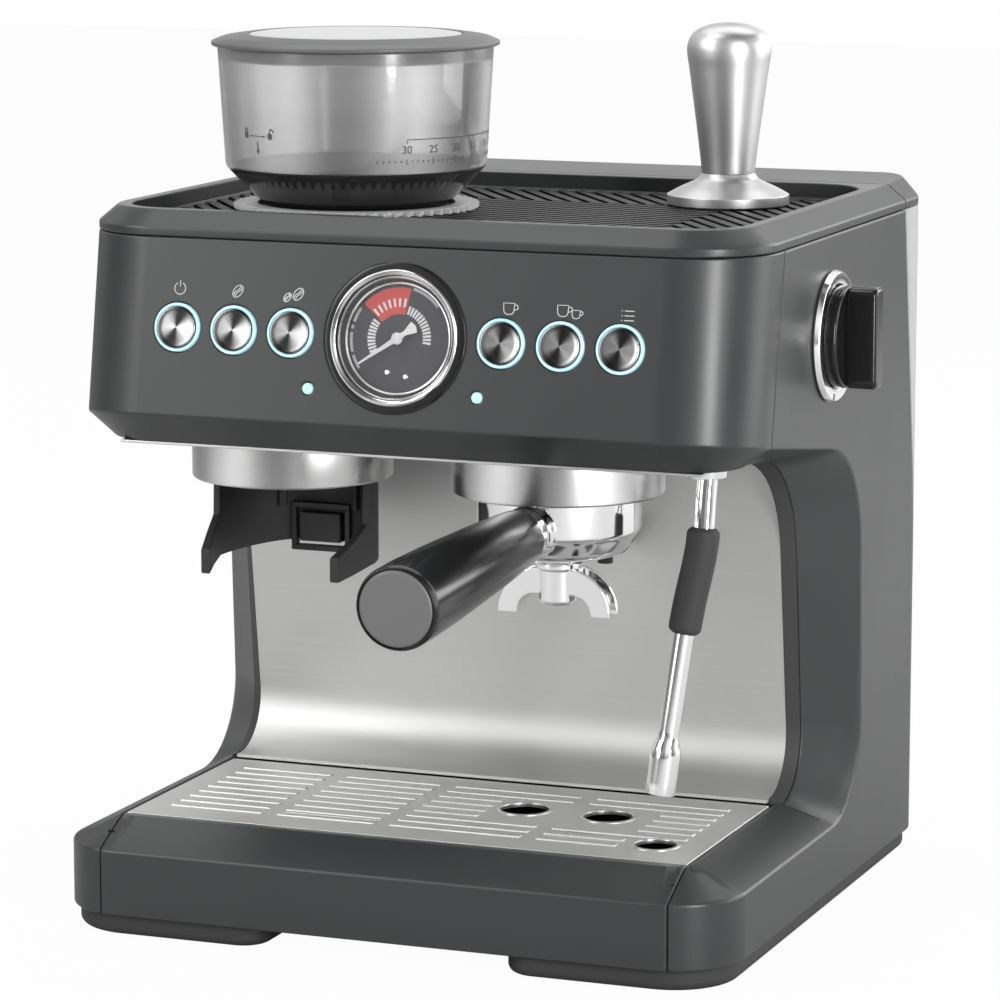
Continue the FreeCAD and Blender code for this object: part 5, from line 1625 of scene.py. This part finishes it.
@dataclass
class BeanHopper:
    """The clear hopper with its printed scale, its lid and the toothed ring under it."""

    shop: Workshop
    axis: Point = (-71.5, -6.0)
    base: float = 325.4
    waist: float = 343.4
    top: float = 399.6
    neck_low: float = 307.6
    neck_radius: float = 39.0
    cone_radius: float = 44.0
    waist_radius: float = 61.5
    radius: float = 65.0
    wall: float = 2.5
    ring_low: float = 323.7
    ring_top: float = 325.9
    ring_root: float = 54.2
    ring_tip: float = 58.0
    ring_gap: float = 2.6
    teeth: int = 60
    tooth_half: float = 1.8
    number_size: float = 5.2
    number_level: float = 355.0
    tick_level: float = 349.8
    bracket: Point = (357.9, 359.8)
    scale_start: float = -45.0
    scale_step: float = 13.0
    scale_line: float = 0.42
    lock_turn: float = -113.7
    lock_side: float = 7.9
    lock_line: float = 0.6
    lock_rows: tuple[float, ...] = (359.6, 360.3, 361.0, 361.7)
    print_height: float = 0.1
    print_out: float = 0.05
    seal_band: float = 6.0

    @property
    def here(self) -> Matrix:
        """The frame on the hopper's axis."""
        return upright(*self.axis)

    def build(self) -> None:
        """Make all pieces of the hopper."""
        self._bowl()
        self._gate()
        self._lid()
        self._ring()
        self._scale()
        self.shop.dress(TURNED_STEEL, "upper_burr", "lower_burr")

    def _bowl(self) -> None:
        """The clear wall with a smoked cone below it and a duller band over its seal."""
        w, waist, neck = self.wall, self.waist_radius, self.neck_radius
        band = self.top - self.seal_band
        brim = self._outside(band)
        wall = [(waist, self.waist, 2.2), (brim, band, 0), (self.radius, self.top, 0.4)]
        wall += [(self.radius - w, self.top, 0.4), (brim - w, band, 0), (waist - w, self.waist + 0.5, 1.2)]
        cone = [(self.cone_radius - w, self.base + w, 0.8), (neck - w, self.base + w, 0.5)]
        cone += [(neck - w, self.neck_low, 0), (neck, self.neck_low, 0)]
        cone += [(neck, self.base, 0.5), (self.cone_radius, self.base, 0.8)]
        bowl = Shapes.turned("hopper_shell", [*wall, *cone], self.here, steps=128, ring=True)
        # The clear wall's finish carries a painted reflection in lobes round the axis.
        for finish in (SMOKED, DARK_SMOKED, SEAL_SMOKED):
            bowl.data.materials.append(finish.material())
        for face in bowl.data.polygons:
            level = face.center.z / MM
            face.material_index = 1 if level < self.waist + 0.6 else 2 if level > band else 0
        self.shop.carry(bowl, SMOKED, "hopper_bowl", instead=True)

    def _gate(self) -> None:
        """The feed gate inside the hopper, with the funnel over it and the posts round it."""
        base = self.base
        gate = [(10.0, base + 3.2, 0.3), (40.0, base + 3.2, 0.3)]
        gate += [(40.0, base + 4.6, 0.4), (10.0, base + 6.5, 0.4)]
        self.shop.turn("hopper_gate", gate, self.here, MATT_BLACK, "hopper_bowl", ring=True)
        low, high = self.waist - 8.0, self.waist - 0.6
        funnel = [(21.0, low, 0.3), (57.4, high, 0.3), (58.6, high + 1.2, 0.3), (21.0, low + 1.4, 0.3)]
        self.shop.turn("hopper_funnel", funnel, self.here, PALE_PLASTIC, "hopper_bowl", ring=True)
        post = Shapes.prism("post_template", rounded_box(3.0, 8.0, 0.8), TEMPLATE, 0, 8.0)
        post.data.transform(Matrix.Translation((37.0, 0, base + 3.4)))
        posts = Repeats.ring("hopper_posts", post, 8, (12.0, 45.0), self.here, MATT_BLACK)
        self.shop.carry(posts, MATT_BLACK, "hopper_bowl")

    def _lid(self) -> None:
        """The grey lid ring, its seal and the pale disc in its middle."""
        low = self.top + 0.3
        ring = [(50.4, low, 0.3), (67.6, low, 0.4), (68.0, low + 1.8, 0.8), (63.0, low + 4.0, 2.4)]
        ring += [(52.0, low + 5.5, 0.8), (50.4, low + 5.2, 0.3)]
        self.shop.turn(
            "hopper_lid_ring", ring, self.here, LID_GREY, "hopper_lid", instead=True, steps=128, ring=True
        )
        disc = [(0, low + 5.8, 0), (46.0, low + 5.6, 1.0), (50.0, low + 5.0, 0.5), (50.0, low + 0.4, 0)]
        self.shop.turn("hopper_lid_disc", [*disc, (0, low + 0.4, 0)], self.here, PALE_PLASTIC, "hopper_lid")
        seal = [(57.0, low - 5.9, 0.5), (60.9, low - 5.9, 0.5), (61.3, low - 4.3, 0.6)]
        seal += [(60.7, low - 3.3, 0.5), (61.3, low - 2.2, 0.6), (61.0, low, 0), (57.0, low, 0)]
        self.shop.turn("hopper_lid_seal", seal, self.here, RUBBER, "hopper_lid", ring=True)

    def _ring(self) -> None:
        """The toothed ring that the hopper is turned by."""
        low, top, root, tip = self.ring_low, self.ring_top, self.ring_root, self.ring_tip
        wide = self.tooth_half
        bore = self.cone_radius + self.ring_gap
        core = [(bore, low, 0), (root, low, 0.3), (root, top, 0.5), (bore, top, 0.3)]
        body = Shapes.turned("ring_core", core, self.here, ring=True)
        body.data.materials.append(RING_GREY.material())
        half = [(root - 0.6, wide), (tip - 0.8, wide * 0.62), (tip, wide * 0.3)]
        tooth = [*((x, -y) for x, y in half), *reversed(half)]
        template = Shapes.prism("tooth_template", tooth, TEMPLATE, low, top - 0.2)
        turns = (0.0, 360.0 / self.teeth)
        teeth = Repeats.ring("ring_teeth", template, self.teeth, turns, self.here, RING_GREY)
        ring = Shapes.joined("toothed_ring", [body, teeth])
        self.shop.carry(ring, RING_GREY, "adjust_ring", instead=True)

    def _outside(self, level: float) -> float:
        """The radius of the clear wall's outside at a height."""
        share = (level - self.waist) / (self.top - self.waist)
        return self.waist_radius + (self.radius - self.waist_radius) * share

    def _wrap(self, piece: Piece, turn: float) -> None:
        """Lay a flat drawing round the hopper's wall.

        Args:
            piece: The drawing, with its X along the wall, its Y up and its Z out, in millimetres.
            turn: The angle of its origin about the hopper's axis, in degrees.
        """
        for vertex in piece.data.vertices:
            along, level, out = vertex.co
            radius = self._outside(level) + self.print_out
            angle = math.radians(turn) + along / radius
            reach = radius + out
            x, y = self.axis[0] + reach * math.cos(angle), self.axis[1] + reach * math.sin(angle)
            vertex.co = Vector((x, y, level)) * MM
        self.shop.carry(piece, DARK_PRINT, "hopper_bowl")

    def _scale(self) -> None:
        """The printed grind scale with its numbers, and the lock marks."""
        arm = math.radians(self.scale_step) * self._outside(self.tick_level)
        low, high = self.bracket
        paths: list[Line] = []
        for tick in range(-5, 31):
            x = arm * tick / 5
            size = 1.5 if tick % 5 == 0 and tick >= 0 else 0.6
            ends = (self.tick_level - size, self.tick_level + size * 0.7)
            paths.append(([(x, level, 0.0) for level in ends], False))
        line = [(0.0, low, 0.0), *((arm * 5 * k / 24, high, 0.0) for k in range(25))]
        paths.append((line, False))
        for x in (arm * 3, arm * 5):
            paths.append(([(x, low, 0.0), (x, high, 0.0)], False))
        sizes = (DARK_PRINT, self.print_height, self.scale_line)
        self._wrap(Repeats.sweep("hopper_scale", paths, TEMPLATE, *sizes), self.scale_start)
        digits = [self._number(str(30 - 5 * k), arm * k) for k in range(6)]
        self._wrap(Shapes.joined("hopper_numbers", digits), self.scale_start)
        sizes = (DARK_PRINT, self.print_height, self.lock_line)
        self._wrap(Repeats.sweep("hopper_locks", self._locks(), TEMPLATE, *sizes), self.lock_turn)

    def _number(self, digits: str, x: float) -> Piece:
        """A flat number in millimetres, to be laid round the wall.

        Args:
            digits: The number.
            x: Its place along the wall.

        Returns:
            The flat piece.
        """
        text = bpy.data.curves.new("number", "FONT")
        text.body = digits
        text.size = self.number_size
        text.align_x = "CENTER"
        text.align_y = "CENTER"
        text.extrude = self.print_height / 2
        source = Shapes.link("number_source", text)
        graph = bpy.context.evaluated_depsgraph_get()
        mesh = bpy.data.meshes.new_from_object(source.evaluated_get(graph))
        bpy.data.objects.remove(source)
        mesh.transform(Matrix.Translation((x, self.number_level, 0.0)))
        return Shapes.link(f"number_{digits}", mesh)

    def _locks(self) -> list[Line]:
        """A shut and an open padlock with a line and an arrow between them.

        Returns:
            Their lines.
        """
        drawn: list[Line] = []
        top = self.lock_rows[-1]
        for side, shackle in ((-1, 0.0), (1, 1.0)):
            x = side * self.lock_side
            for level in self.lock_rows:
                drawn.append(([(x - 1.3, level, 0), (x + 1.3, level, 0)], False))
            bow = arc(0.95, 0, 180, 10, (x + shackle, 362.9))
            foot = [(x + shackle + 0.95, top + shackle * 0.8, 0), *bow, (x + shackle - 0.95, top, 0)]
            drawn.append((foot, False))
        drawn.append(([(-4.9, 360.4, 0), (4.9, 360.4, 0)], False))
        drawn.append(([(0, 357.8, 0), (0, 352.4, 0)], False))
        drawn.append(([(-0.8, 354.0, 0), (0, 352.4, 0), (0.8, 354.0, 0)], False))
        return drawn


@dataclass
class GrinderOutlet:
    """The steel collar under the grinder, with the fork that holds a portafilter and its switch."""

    shop: Workshop
    axis: Point = (-77.5, -69.0)
    radius: float = 39.6
    wall: float = 3.2
    top: float = 221.5
    low: float = 164.0
    rise: float = 4.0
    arm: tuple[tuple[float, ...], ...] = (
        (34.6, -28.0, 160.0, 171.5, 4.6),
        (37.6, -15.0, 162.0, 177.5, 4.0),
        (39.3, -4.0, 163.6, 184.0, 3.4),
    )
    fork_turn: Point = (183.0, -3.0)
    fork_steps: int = 32
    switch_spot: Spot = (-77.5, -33.2, 174.3)
    switch_depth: float = 4.6

    def build(self) -> None:
        """Make all pieces of the outlet."""
        shop = self.shop
        here = upright(*self.axis)
        collar = [(39.9, 204.5, 0.4), (45.9, 204.5, 0.5), (46.7, 205.4, 0.3)]
        collar += [(46.7, 223.6, 0), (39.9, 223.6, 0)]
        shop.turn(
            "grinder_collar_ring", collar, here, TURNED_STEEL, "grinder_collar",
            instead=True, steps=128, ring=True,
        )
        fork = Shapes.round_edges(Shapes.loft("cradle_fork", self._fork()), 0.7, 34.0)
        shop.carry(fork, MATT_BLACK, "grind_cradle", instead=True)
        bars = [(0.0, y, 30.0, 2.6) for y in (10.2, -10.2)]
        bars += [(x, 0.0, 2.6, 18.0) for x in (-13.7, 13.7)]
        sides = []
        for x, y, wide, tall in bars:
            outline = [(x + a, y + b) for a, b in rounded_box(wide, tall, 0.6)]
            place = to_front(*self.switch_spot)
            sides.append(Shapes.prism("frame_bar", outline, place, 0.0, self.switch_depth, 0.4))
        shop.carry(Shapes.joined("switch_frame", sides), MATT_BLACK, "grind_cradle")
        post = Shapes.prism("rib_template", rounded_box(3.4, 4.0, 0.8), TEMPLATE, 184.0, 206.0)
        post.data.transform(Matrix.Translation((self.radius - self.wall - 1.0, 0, 0)))
        ribs = Repeats.ring("cradle_ribs", post, 2, (58.0, 64.0), here, MATT_BLACK)
        shop.carry(ribs, MATT_BLACK, "grind_cradle")
        shop.soften("grind_switch", MATT_BLACK, 0.8)
        shop.dress(MATT_BLACK, "grinder_housing")
        shop.dress(SATIN_DARK, "grinder_motor")

    def _fork(self) -> list[list[Spot]]:
        """Cross sections of the fork, from the tip of its left arm round the back to the right one.

        Returns:
            The corners of each section.
        """
        rows = [(-x, y, (1.0, 0.0), low, high, thick) for x, y, low, high, thick in self.arm]
        first, last = self.fork_turn
        for step in range(self.fork_steps + 1):
            turn = math.radians(first - (first - last) * step / self.fork_steps)
            way = (-math.cos(turn), -math.sin(turn))
            low = self.low + self.rise * max(-way[1], 0.0) ** 2
            rows.append((-way[0] * self.radius, -way[1] * self.radius, way, low, self.top, self.wall))
        rows += [(x, y, (-1.0, 0.0), low, high, thick) for x, y, low, high, thick in reversed(self.arm)]
        loops = []
        for x, y, (a, b), low, high, thick in rows:
            outer = (self.axis[0] + x, self.axis[1] + y)
            inner = (outer[0] + a * thick, outer[1] + b * thick)
            loops.append([(*outer, low), (*outer, high), (*inner, high), (*inner, low)])
        return loops


@dataclass
class BrewGroup:
    """The group with its collar, and the portafilter locked into it."""

    shop: Workshop
    axis: Point = (54.0, -69.0)
    handle_level: float = 191.3
    handle_start: float = -118.5
    handle_tilt: float = 2.6
    neck_level: float = 193.6
    handle_length: float = 145.0

    @property
    def here(self) -> Matrix:
        """The frame on the group's axis."""
        return upright(*self.axis)

    def build(self) -> None:
        """Make all pieces of the group."""
        collar = [(45.3, 204.5, 0.3), (47.7, 204.5, 0.5), (48.5, 205.4, 0.3)]
        collar += [(48.5, 223.6, 0), (45.3, 223.6, 0)]
        self.shop.turn(
            "group_collar_ring", collar, self.here, TURNED_STEEL, "group_collar",
            instead=True, steps=128, ring=True,
        )
        self.shop.dress(SATIN_DARK, "group_head")
        self.shop.dress(POLISHED, "shower_screen", "filter_basket")
        self._bowl()
        self._spout()
        self._handle()

    def _bowl(self) -> None:
        """The chrome bowl with its neck towards the handle."""
        bowl = [(0, 172.0, 0), (12.0, 172.0, 1.0), (14.5, 174.0, 1.5), (30.5, 177.0, 4.0), (36.4, 186.5, 2.0)]
        bowl += [(38.0, 188.0, 1.0), (38.0, 206.5, 0.3), (37.0, 211.0, 0.4), (30.1, 211.0, 0.3)]
        bowl += [(30.1, 184.0, 2.0), (0, 184.0, 0)]
        cup = Shapes.turned("portafilter_cup", bowl, self.here, steps=128)
        neck = [(0, 30.0, 0), (14.0, 30.0, 0), (12.6, 36.0, 2.0), (10.2, 40.0, 2.0), (10.2, 47.0, 0.4)]
        neck += [(10.9, 47.8, 0.4), (10.9, 50.4, 0.4), (0, 50.4, 0)]
        joint = Shapes.turned("portafilter_neck", neck, self._along(self.axis[1], self.neck_level))
        whole = Shapes.joined("portafilter_body", [cup, joint])
        self.shop.carry(whole, CHROME, "portafilter_bowl", instead=True)

    def _spout(self) -> None:
        """The twin spout, an open gutter to both sides of a round neck."""
        self.shop.soften("portafilter_spout", CHROME, 0.5, angle=40.0)
        neck = [(0, 152.6, 0), (7.8, 152.6, 1.4), (9.2, 154.4, 0.8), (9.2, 168.6, 0.4), (10.4, 169.6, 0.4)]
        neck += [(10.4, 171.9, 0.4), (0, 171.9, 0)]
        self.shop.turn("spout_neck_ring", neck, self.here, CHROME, "portafilter_spout", steps=64)

    def _along(self, start: float, level: float) -> Matrix:
        """A frame on the handle's axis, which falls a little towards the front."""
        return to_front(self.axis[0], start, level) @ Matrix.Rotation(math.radians(self.handle_tilt), 4, "X")

    def _handle(self) -> None:
        """The tapered black handle with its end cap."""
        length = self.handle_length
        here = self._along(self.handle_start, self.handle_level)
        grip = [(0, 0.2, 0), (11.4, 0.2, 0.8), (13.0, 3.0, 1.4), (13.8, 14.0, 3.0), (15.4, 40.0, 8.0)]
        grip += [(17.7, 96.0, 12.0), (18.5, 128.0, 6.0), (18.5, length - 3.0, 1.2), (17.6, length - 0.6, 0.6)]
        grip += [(16.9, length - 0.6, 0.2), (16.9, length - 2.0, 0), (0, length - 2.0, 0)]
        self.shop.turn("portafilter_grip", grip, here, SATIN_BLACK, "portafilter_handle", instead=True)
        cap = [(0, length - 0.1, 0), (15.6, length - 0.2, 0.8), (16.6, length - 1.0, 0.4)]
        cap += [(16.6, length - 1.9, 0), (0, length - 1.9, 0)]
        self.shop.turn("portafilter_end_cap", cap, here, CAP_GREY, "portafilter_handle")


@dataclass
class SteamSide:
    """The steam knob on the right, the wand and the hot water outlet."""

    shop: Workshop
    knob: Spot = (163.0, -5.4, 272.7)
    mark_level: float = 3.55
    mark_height: float = 0.1
    outlet: Spot = (58.5, -6.0, 172.0)
    ball: Spot = (124.0, -67.0, 212.2)
    lean: Spot = (-16.0, -14.7, -141.2)
    bow: float = 2.4
    bow_share: float = 0.2
    bow_width: float = 0.16
    tube: float = 4.9
    tube_start: float = -0.02
    tube_steps: int = 80
    nozzle: float = 7.1
    nozzle_span: Point = (27.0, 18.0)
    tip_length: float = 3.0
    tip_fall: float = 0.12
    sleeve: float = 7.5
    sleeve_span: Point = (20.5, 69.0)
    sleeve_steps: int = 40

    def build(self) -> None:
        """Make all pieces of the steam side."""
        shop = self.shop
        self._knob()
        shop.dress(MATT_BLACK, "hot_water_outlet")
        root = [(0, -0.6, 0.4), (7.4, -0.6, 0.4), (7.4, -2.4, 0.8), (5.2, -3.4, 0.6)]
        root += [(5.2, -15.6, 0), (0, -15.6, 0)]
        shop.turn("outlet_rosette", root, to_front(*self.outlet), MATT_BLACK, "hot_water_outlet", steps=48)
        shop.dress(BRASS, "steam_valve")
        self._wand()

    def _knob(self) -> None:
        """The knob with a bar across it, and the printed ring that it turns in."""
        here = to_right(*self.knob)
        ring = [(23.9, 0.1, 0), (29.6, 0.1, 0), (30.5, 1.0, 0.4), (29.4, 3.5, 0.5), (24.6, 3.5, 0.4)]
        name = "knob_escutcheon"
        self.shop.turn("knob_bezel", [*ring, (23.9, 2.8, 0.2)], here, CHROME, name, instead=True, ring=True)
        level, height = self.mark_level, self.mark_height
        curves = [arc(27.0, 55 + 2 * k, 57 + 2 * k, 2) for k in range(34)]
        marks = [([(x, y, level) for x, y, _ in curve], False) for curve in curves]
        scale = Repeats.sweep("knob_scale", marks, here, DARK_PRINT, height, 1.6)
        stroke = [([(-6.0, -25.6, level), (-6.8, -28.6, level)], False)]
        tick = Repeats.sweep("knob_tick", stroke, here, DARK_PRINT, height, 1.8)
        self.shop.carry(Shapes.joined("knob_marks", [scale, tick]), DARK_PRINT, name)
        disc = [(0, -9.0, 0), (4.0, -9.0, 0), (4.0, 0.4, 0), (23.4, 0.4, 0.4)]
        disc += [(23.4, 8.2, 1.0), (22.4, 9.0, 0.6), (0, 9.0, 0)]
        wheel = Shapes.turned("knob_wheel", disc, here)
        bar = Shapes.prism("knob_bar", rounded_box(13.0, 46.6, 4.5), here, 8.0, 23.0, 2.2)
        grip = Shapes.joined("steam_knob_grip", [wheel, bar])
        self.shop.carry(grip, GLOSS_BLACK, "steam_knob", instead=True)

    def _path(self, start: float, end: float, steps: int) -> list[Vector]:
        """Points along the wand, which bows a little to the right near its sleeve.

        Args:
            start: Share of the wand's length at the first point.
            end: Share at the last point.
            steps: Number of stretches.

        Returns:
            The points.
        """
        points = []
        for step in range(steps + 1):
            share = start + (end - start) * step / steps
            bow = self.bow * math.exp(-(((share - self.bow_share) / self.bow_width) ** 2))
            points.append(Vector(self.ball) + Vector(self.lean) * share + Vector((bow, 0, 0)))
        return points

    def _wand(self) -> None:
        """The bowed wand with its bulb at the end, its sleeve and the ring that it hangs in."""
        length = Vector(self.lean).length
        start, steps = self.tube_start, self.tube_steps
        radii = []
        for step in range(steps + 1):
            left = length * (1.0 - (start + (1.0 - start) * step / steps))
            bulb = within(left, *self.nozzle_span)
            swell = bulb * bulb * (3 - 2 * bulb)
            tip = max((self.tip_length - left) / self.tip_length, 0.0)
            radii.append(self.tube + (self.nozzle - self.tube) * swell * (1 - self.tip_fall * tip))
        tube = Shapes.bowed("steam_wand", self._path(start, 1.0, steps), radii)
        self.shop.carry(tube, CHROME, "wand_tube", instead=True)
        first, last = (place / length for place in self.sleeve_span)
        steps = self.sleeve_steps
        ends = [max(1.0 - min(k, steps - k) / 2.0, 0.0) for k in range(steps + 1)]
        radii = [self.sleeve - 2.0 * end**2 for end in ends]
        sleeve = Shapes.bowed("steam_sleeve", self._path(first, last, steps), radii)
        self.shop.carry(sleeve, RUBBER, "wand_sleeve", instead=True)
        low, top = self.ball[2] + 2.6, self.ball[2] + 9.5
        ring = [(7.6, low, 0.4), (9.6, low, 0.6), (10.4, top, 0), (7.6, top, 0)]
        self.shop.turn(
            "wand_ring", ring, upright(*self.ball[:2]), CHROME, "wand_collar",
            instead=True, steps=64, ring=True,
        )


@dataclass
class DripTray:
    """The steel plate on the drip tray with its ribs and holes."""

    shop: Workshop
    level: float = 51.6
    holes: tuple[Spot, ...] = ((33.5, -57.5, 11.5), (74.5, -57.5, 11.5), (112.5, -100.0, 9.6))

    def build(self) -> None:
        """Round the plate's ribs and make the rims of its holes."""
        self.shop.soften("drip_plate", PLATE_STEEL, 0.4, merge=False)
        rims = []
        for index, (x, y, radius) in enumerate(self.holes):
            rim = [(radius - 0.2, self.level - 1.6, 0.3), (radius + 1.6, self.level - 0.3, 0.3)]
            rim += [(radius + 1.6, self.level + 0.5, 0.6), (radius - 0.2, self.level + 0.7, 0.6)]
            rims.append(Shapes.turned(f"hole_rim_{index}", rim, upright(x, y), steps=48, ring=True))
        self.shop.carry(Shapes.joined("hole_rims", rims), BRUSHED, "drip_plate")


@dataclass
class Tamper:
    """The tamper that stands on the cup tray."""

    shop: Workshop
    spot: Spot = (89.5, 65.5, 323.7)
    waist: float = 15.0

    def build(self) -> None:
        """Make the satin foot and grip."""
        here = upright(*self.spot)
        foot = [(0, 0, 0), (28.4, 0, 0.3), (29.0, 0.6, 0.2), (29.0, 4.9, 0.3), (28.4, 5.2, 0)]
        slope = Shapes.flowing([(28.4, 5.2), (23.5, 7.9), (18.0, 10.4), (14.4, 12.4), (12.7, self.waist)])
        foot += [*slope[1:], (0, self.waist, 0)]
        self.shop.turn("tamper_foot", foot, here, SATIN_ALLOY, "tamper", instead=True)
        low = self.waist + 0.2
        line = [(12.6, low), (13.6, 25.0), (16.2, 45.0), (18.6, 63.0), (19.8, 71.0)]
        grip = Shapes.flowing([*line, (19.7, 75.6), (18.0, 79.9), (14.6, 82.8), (9.5, 84.9), (4.0, 85.8)])
        self.shop.turn("tamper_grip", [(0, low, 0), *grip, (0, 86.0, 0)], here, SATIN_ALLOY, "tamper")


@dataclass
class Studio:
    """Camera, floor and lights."""

    camera_spot: Spot = (747.47, -1933.66, 535.94)
    camera_turn: Spot = (80.422, 0.0, 21.164)
    lens: float = 159.9
    sensor: float = 36.0
    far: float = 100.0
    lamps: tuple[tuple[str, Spot, Point, float], ...] = (
        ("key", (-1500.0, -1300.0, 1500.0), (1.2, 1.2), 20.0),
        ("front_left", (-980.0, -1510.0, 560.0), (0.5, 0.9), 5.0),
        ("front_strip", (1550.0, -1250.0, 500.0), (0.25, 1.5), 40.0),
        ("right", (1800.0, 840.0, 450.0), (1.0, 1.3), 13.0),
        ("rear_fill", (1100.0, 1700.0, 900.0), (0.9, 1.4), 17.0),
        ("rear_top", (-200.0, 1000.0, 2000.0), (2.0, 1.0), 14.0),
        ("rear_low", (-760.0, 1900.0, 760.0), (1.6, 0.7), 3.0),
        ("overhead", (-720.0, -340.0, 2150.0), (0.9, 0.9), 9.0),
    )
    lamp_aim: Spot = (0.0, 0.0, 180.0)
    floor_half: float = 6000.0
    floor_grey: float = 0.5
    floor_rough: float = 0.7
    whiteness: float = 0.97
    glow_heights: Point = (-0.15, 0.45)
    glow_range: Point = (0.34, 0.85)
    zenith_heights: Point = (0.5, 0.95)
    zenith_fall: float = 0.6
    bands: float = 5.0
    band_turn: float = 40.0
    band_edges: Point = (-0.6, 0.6)
    band_range: Point = (0.4, 1.15)

    def build(self) -> None:
        """Set the camera, the floor, the lamps and the surroundings."""
        scene = bpy.context.scene
        scene.view_settings.view_transform = "Standard"
        camera = Shapes.link("camera", bpy.data.cameras.new("camera"))
        camera.location = Vector(self.camera_spot) * MM
        camera.rotation_euler = [math.radians(turn) for turn in self.camera_turn]
        camera.data.lens = self.lens
        camera.data.sensor_width = self.sensor
        camera.data.clip_end = self.far
        scene.camera = camera
        self._floor()
        self._surroundings()
        for name, spot, size, power in self.lamps:
            self._lamp(name, spot, size, power)

    def _lamp(self, name: str, spot: Spot, size: Point, power: float) -> None:
        """A soft lamp that faces the machine.

        Args:
            name: The lamp's name.
            spot: Its place.
            size: Its width and height, in metres.
            power: Its power, in watts.
        """
        data = bpy.data.lights.new(name, "AREA")
        data.shape = "RECTANGLE"
        data.size, data.size_y = size
        data.energy = power
        lamp = Shapes.link(name, data)
        lamp.location = Vector(spot) * MM
        aim = Vector(self.lamp_aim) * MM - lamp.location
        lamp.rotation_euler = aim.to_track_quat("-Z", "Y").to_euler()

    @staticmethod
    def _blend(tree: NodeGroup, output: str, share: float, plain: Socket, white: Socket) -> None:
        """Show white to rays that see the background, straight or through clear pieces.

        Args:
            tree: The tree of the floor or of the surroundings.
            output: Its output node.
            share: How much of the white those rays see.
            plain: What the other rays meet.
            white: The white.
        """
        kit = Tree(tree)
        path = kit.add("ShaderNodeLightPath").outputs
        seen = kit.math("MAXIMUM", path["Is Camera Ray"], path["Is Transmission Ray"])
        feeds = {0: kit.math("MULTIPLY", seen, share), 1: plain, 2: white}
        kit.feed(tree.nodes[output], {"Surface": kit.out("ShaderNodeMixShader", feeds)})

    def _floor(self) -> None:
        """A pale floor that keeps the machine's shadow."""
        mesh = bpy.data.meshes.new("floor")
        half = self.floor_half * MM
        corners = [(-half, -half, 0), (half, -half, 0), (half, half, 0), (-half, half, 0)]
        mesh.from_pydata(corners, [], [(0, 1, 2, 3)])
        floor = Shapes.link("floor", mesh)
        material = bpy.data.materials.new("pale_floor")
        material.use_nodes = True
        tree = material.node_tree
        shader = tree.nodes["Principled BSDF"]
        kit = Tree(tree)
        kit.feed(shader, {"Base Color": (*grey(self.floor_grey), 1.0), "Roughness": self.floor_rough})
        white = kit.out("ShaderNodeEmission", {"Strength": 1.0})
        self._blend(tree, "Material Output", self.whiteness, shader.outputs[0], white)
        mesh.materials.append(material)

    def _surroundings(self) -> None:
        """White surroundings that light the machine from above, with darker bands between brighter ones."""
        world = bpy.data.worlds.new("studio")
        bpy.context.scene.world = world
        world.use_nodes = True
        tree = world.node_tree
        kit = Tree(tree)
        place = kit.add("ShaderNodeTexCoord").outputs["Generated"]
        x, y, z = kit.add("ShaderNodeSeparateXYZ", {0: place}).outputs
        rise = kit.ramp(z, self.glow_heights, self.glow_range, "SMOOTHSTEP")
        fall = kit.ramp(z, self.zenith_heights, (0.0, self.zenith_fall), "SMOOTHSTEP")
        round_it = kit.math("ARCTAN2", x, kit.math("MULTIPLY", y, -1.0))
        turn = kit.math("ADD", round_it, math.radians(self.band_turn))
        wave = kit.math("COSINE", kit.math("MULTIPLY", turn, self.bands))
        band = kit.ramp(wave, self.band_edges, self.band_range, "SMOOTHSTEP")
        light = tree.nodes["Background"]
        strength = kit.math("MULTIPLY", kit.math("SUBTRACT", rise, fall), band)
        white = (*grey(1.0), 1.0)
        kit.feed(light, {"Strength": strength, "Color": white})
        seen = kit.out("ShaderNodeBackground", {"Color": white})
        self._blend(tree, "World Output", 1.0, light.outputs[0], seen)


def main() -> None:
    """Build the studio and every sub-assembly."""
    logging.basicConfig(level=logging.INFO, format="%(name)s: %(message)s")
    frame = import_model()
    Studio().build()
    shop = Workshop(frame)
    parts = (Housing, Controls, PressureGauge, BeanHopper, GrinderOutlet, BrewGroup, SteamSide)
    for part in (*parts, DripTray, Tamper):
        LOG.info("building %s", part.__name__)
        part(shop).build()


if __name__ == "__main__":
    main()
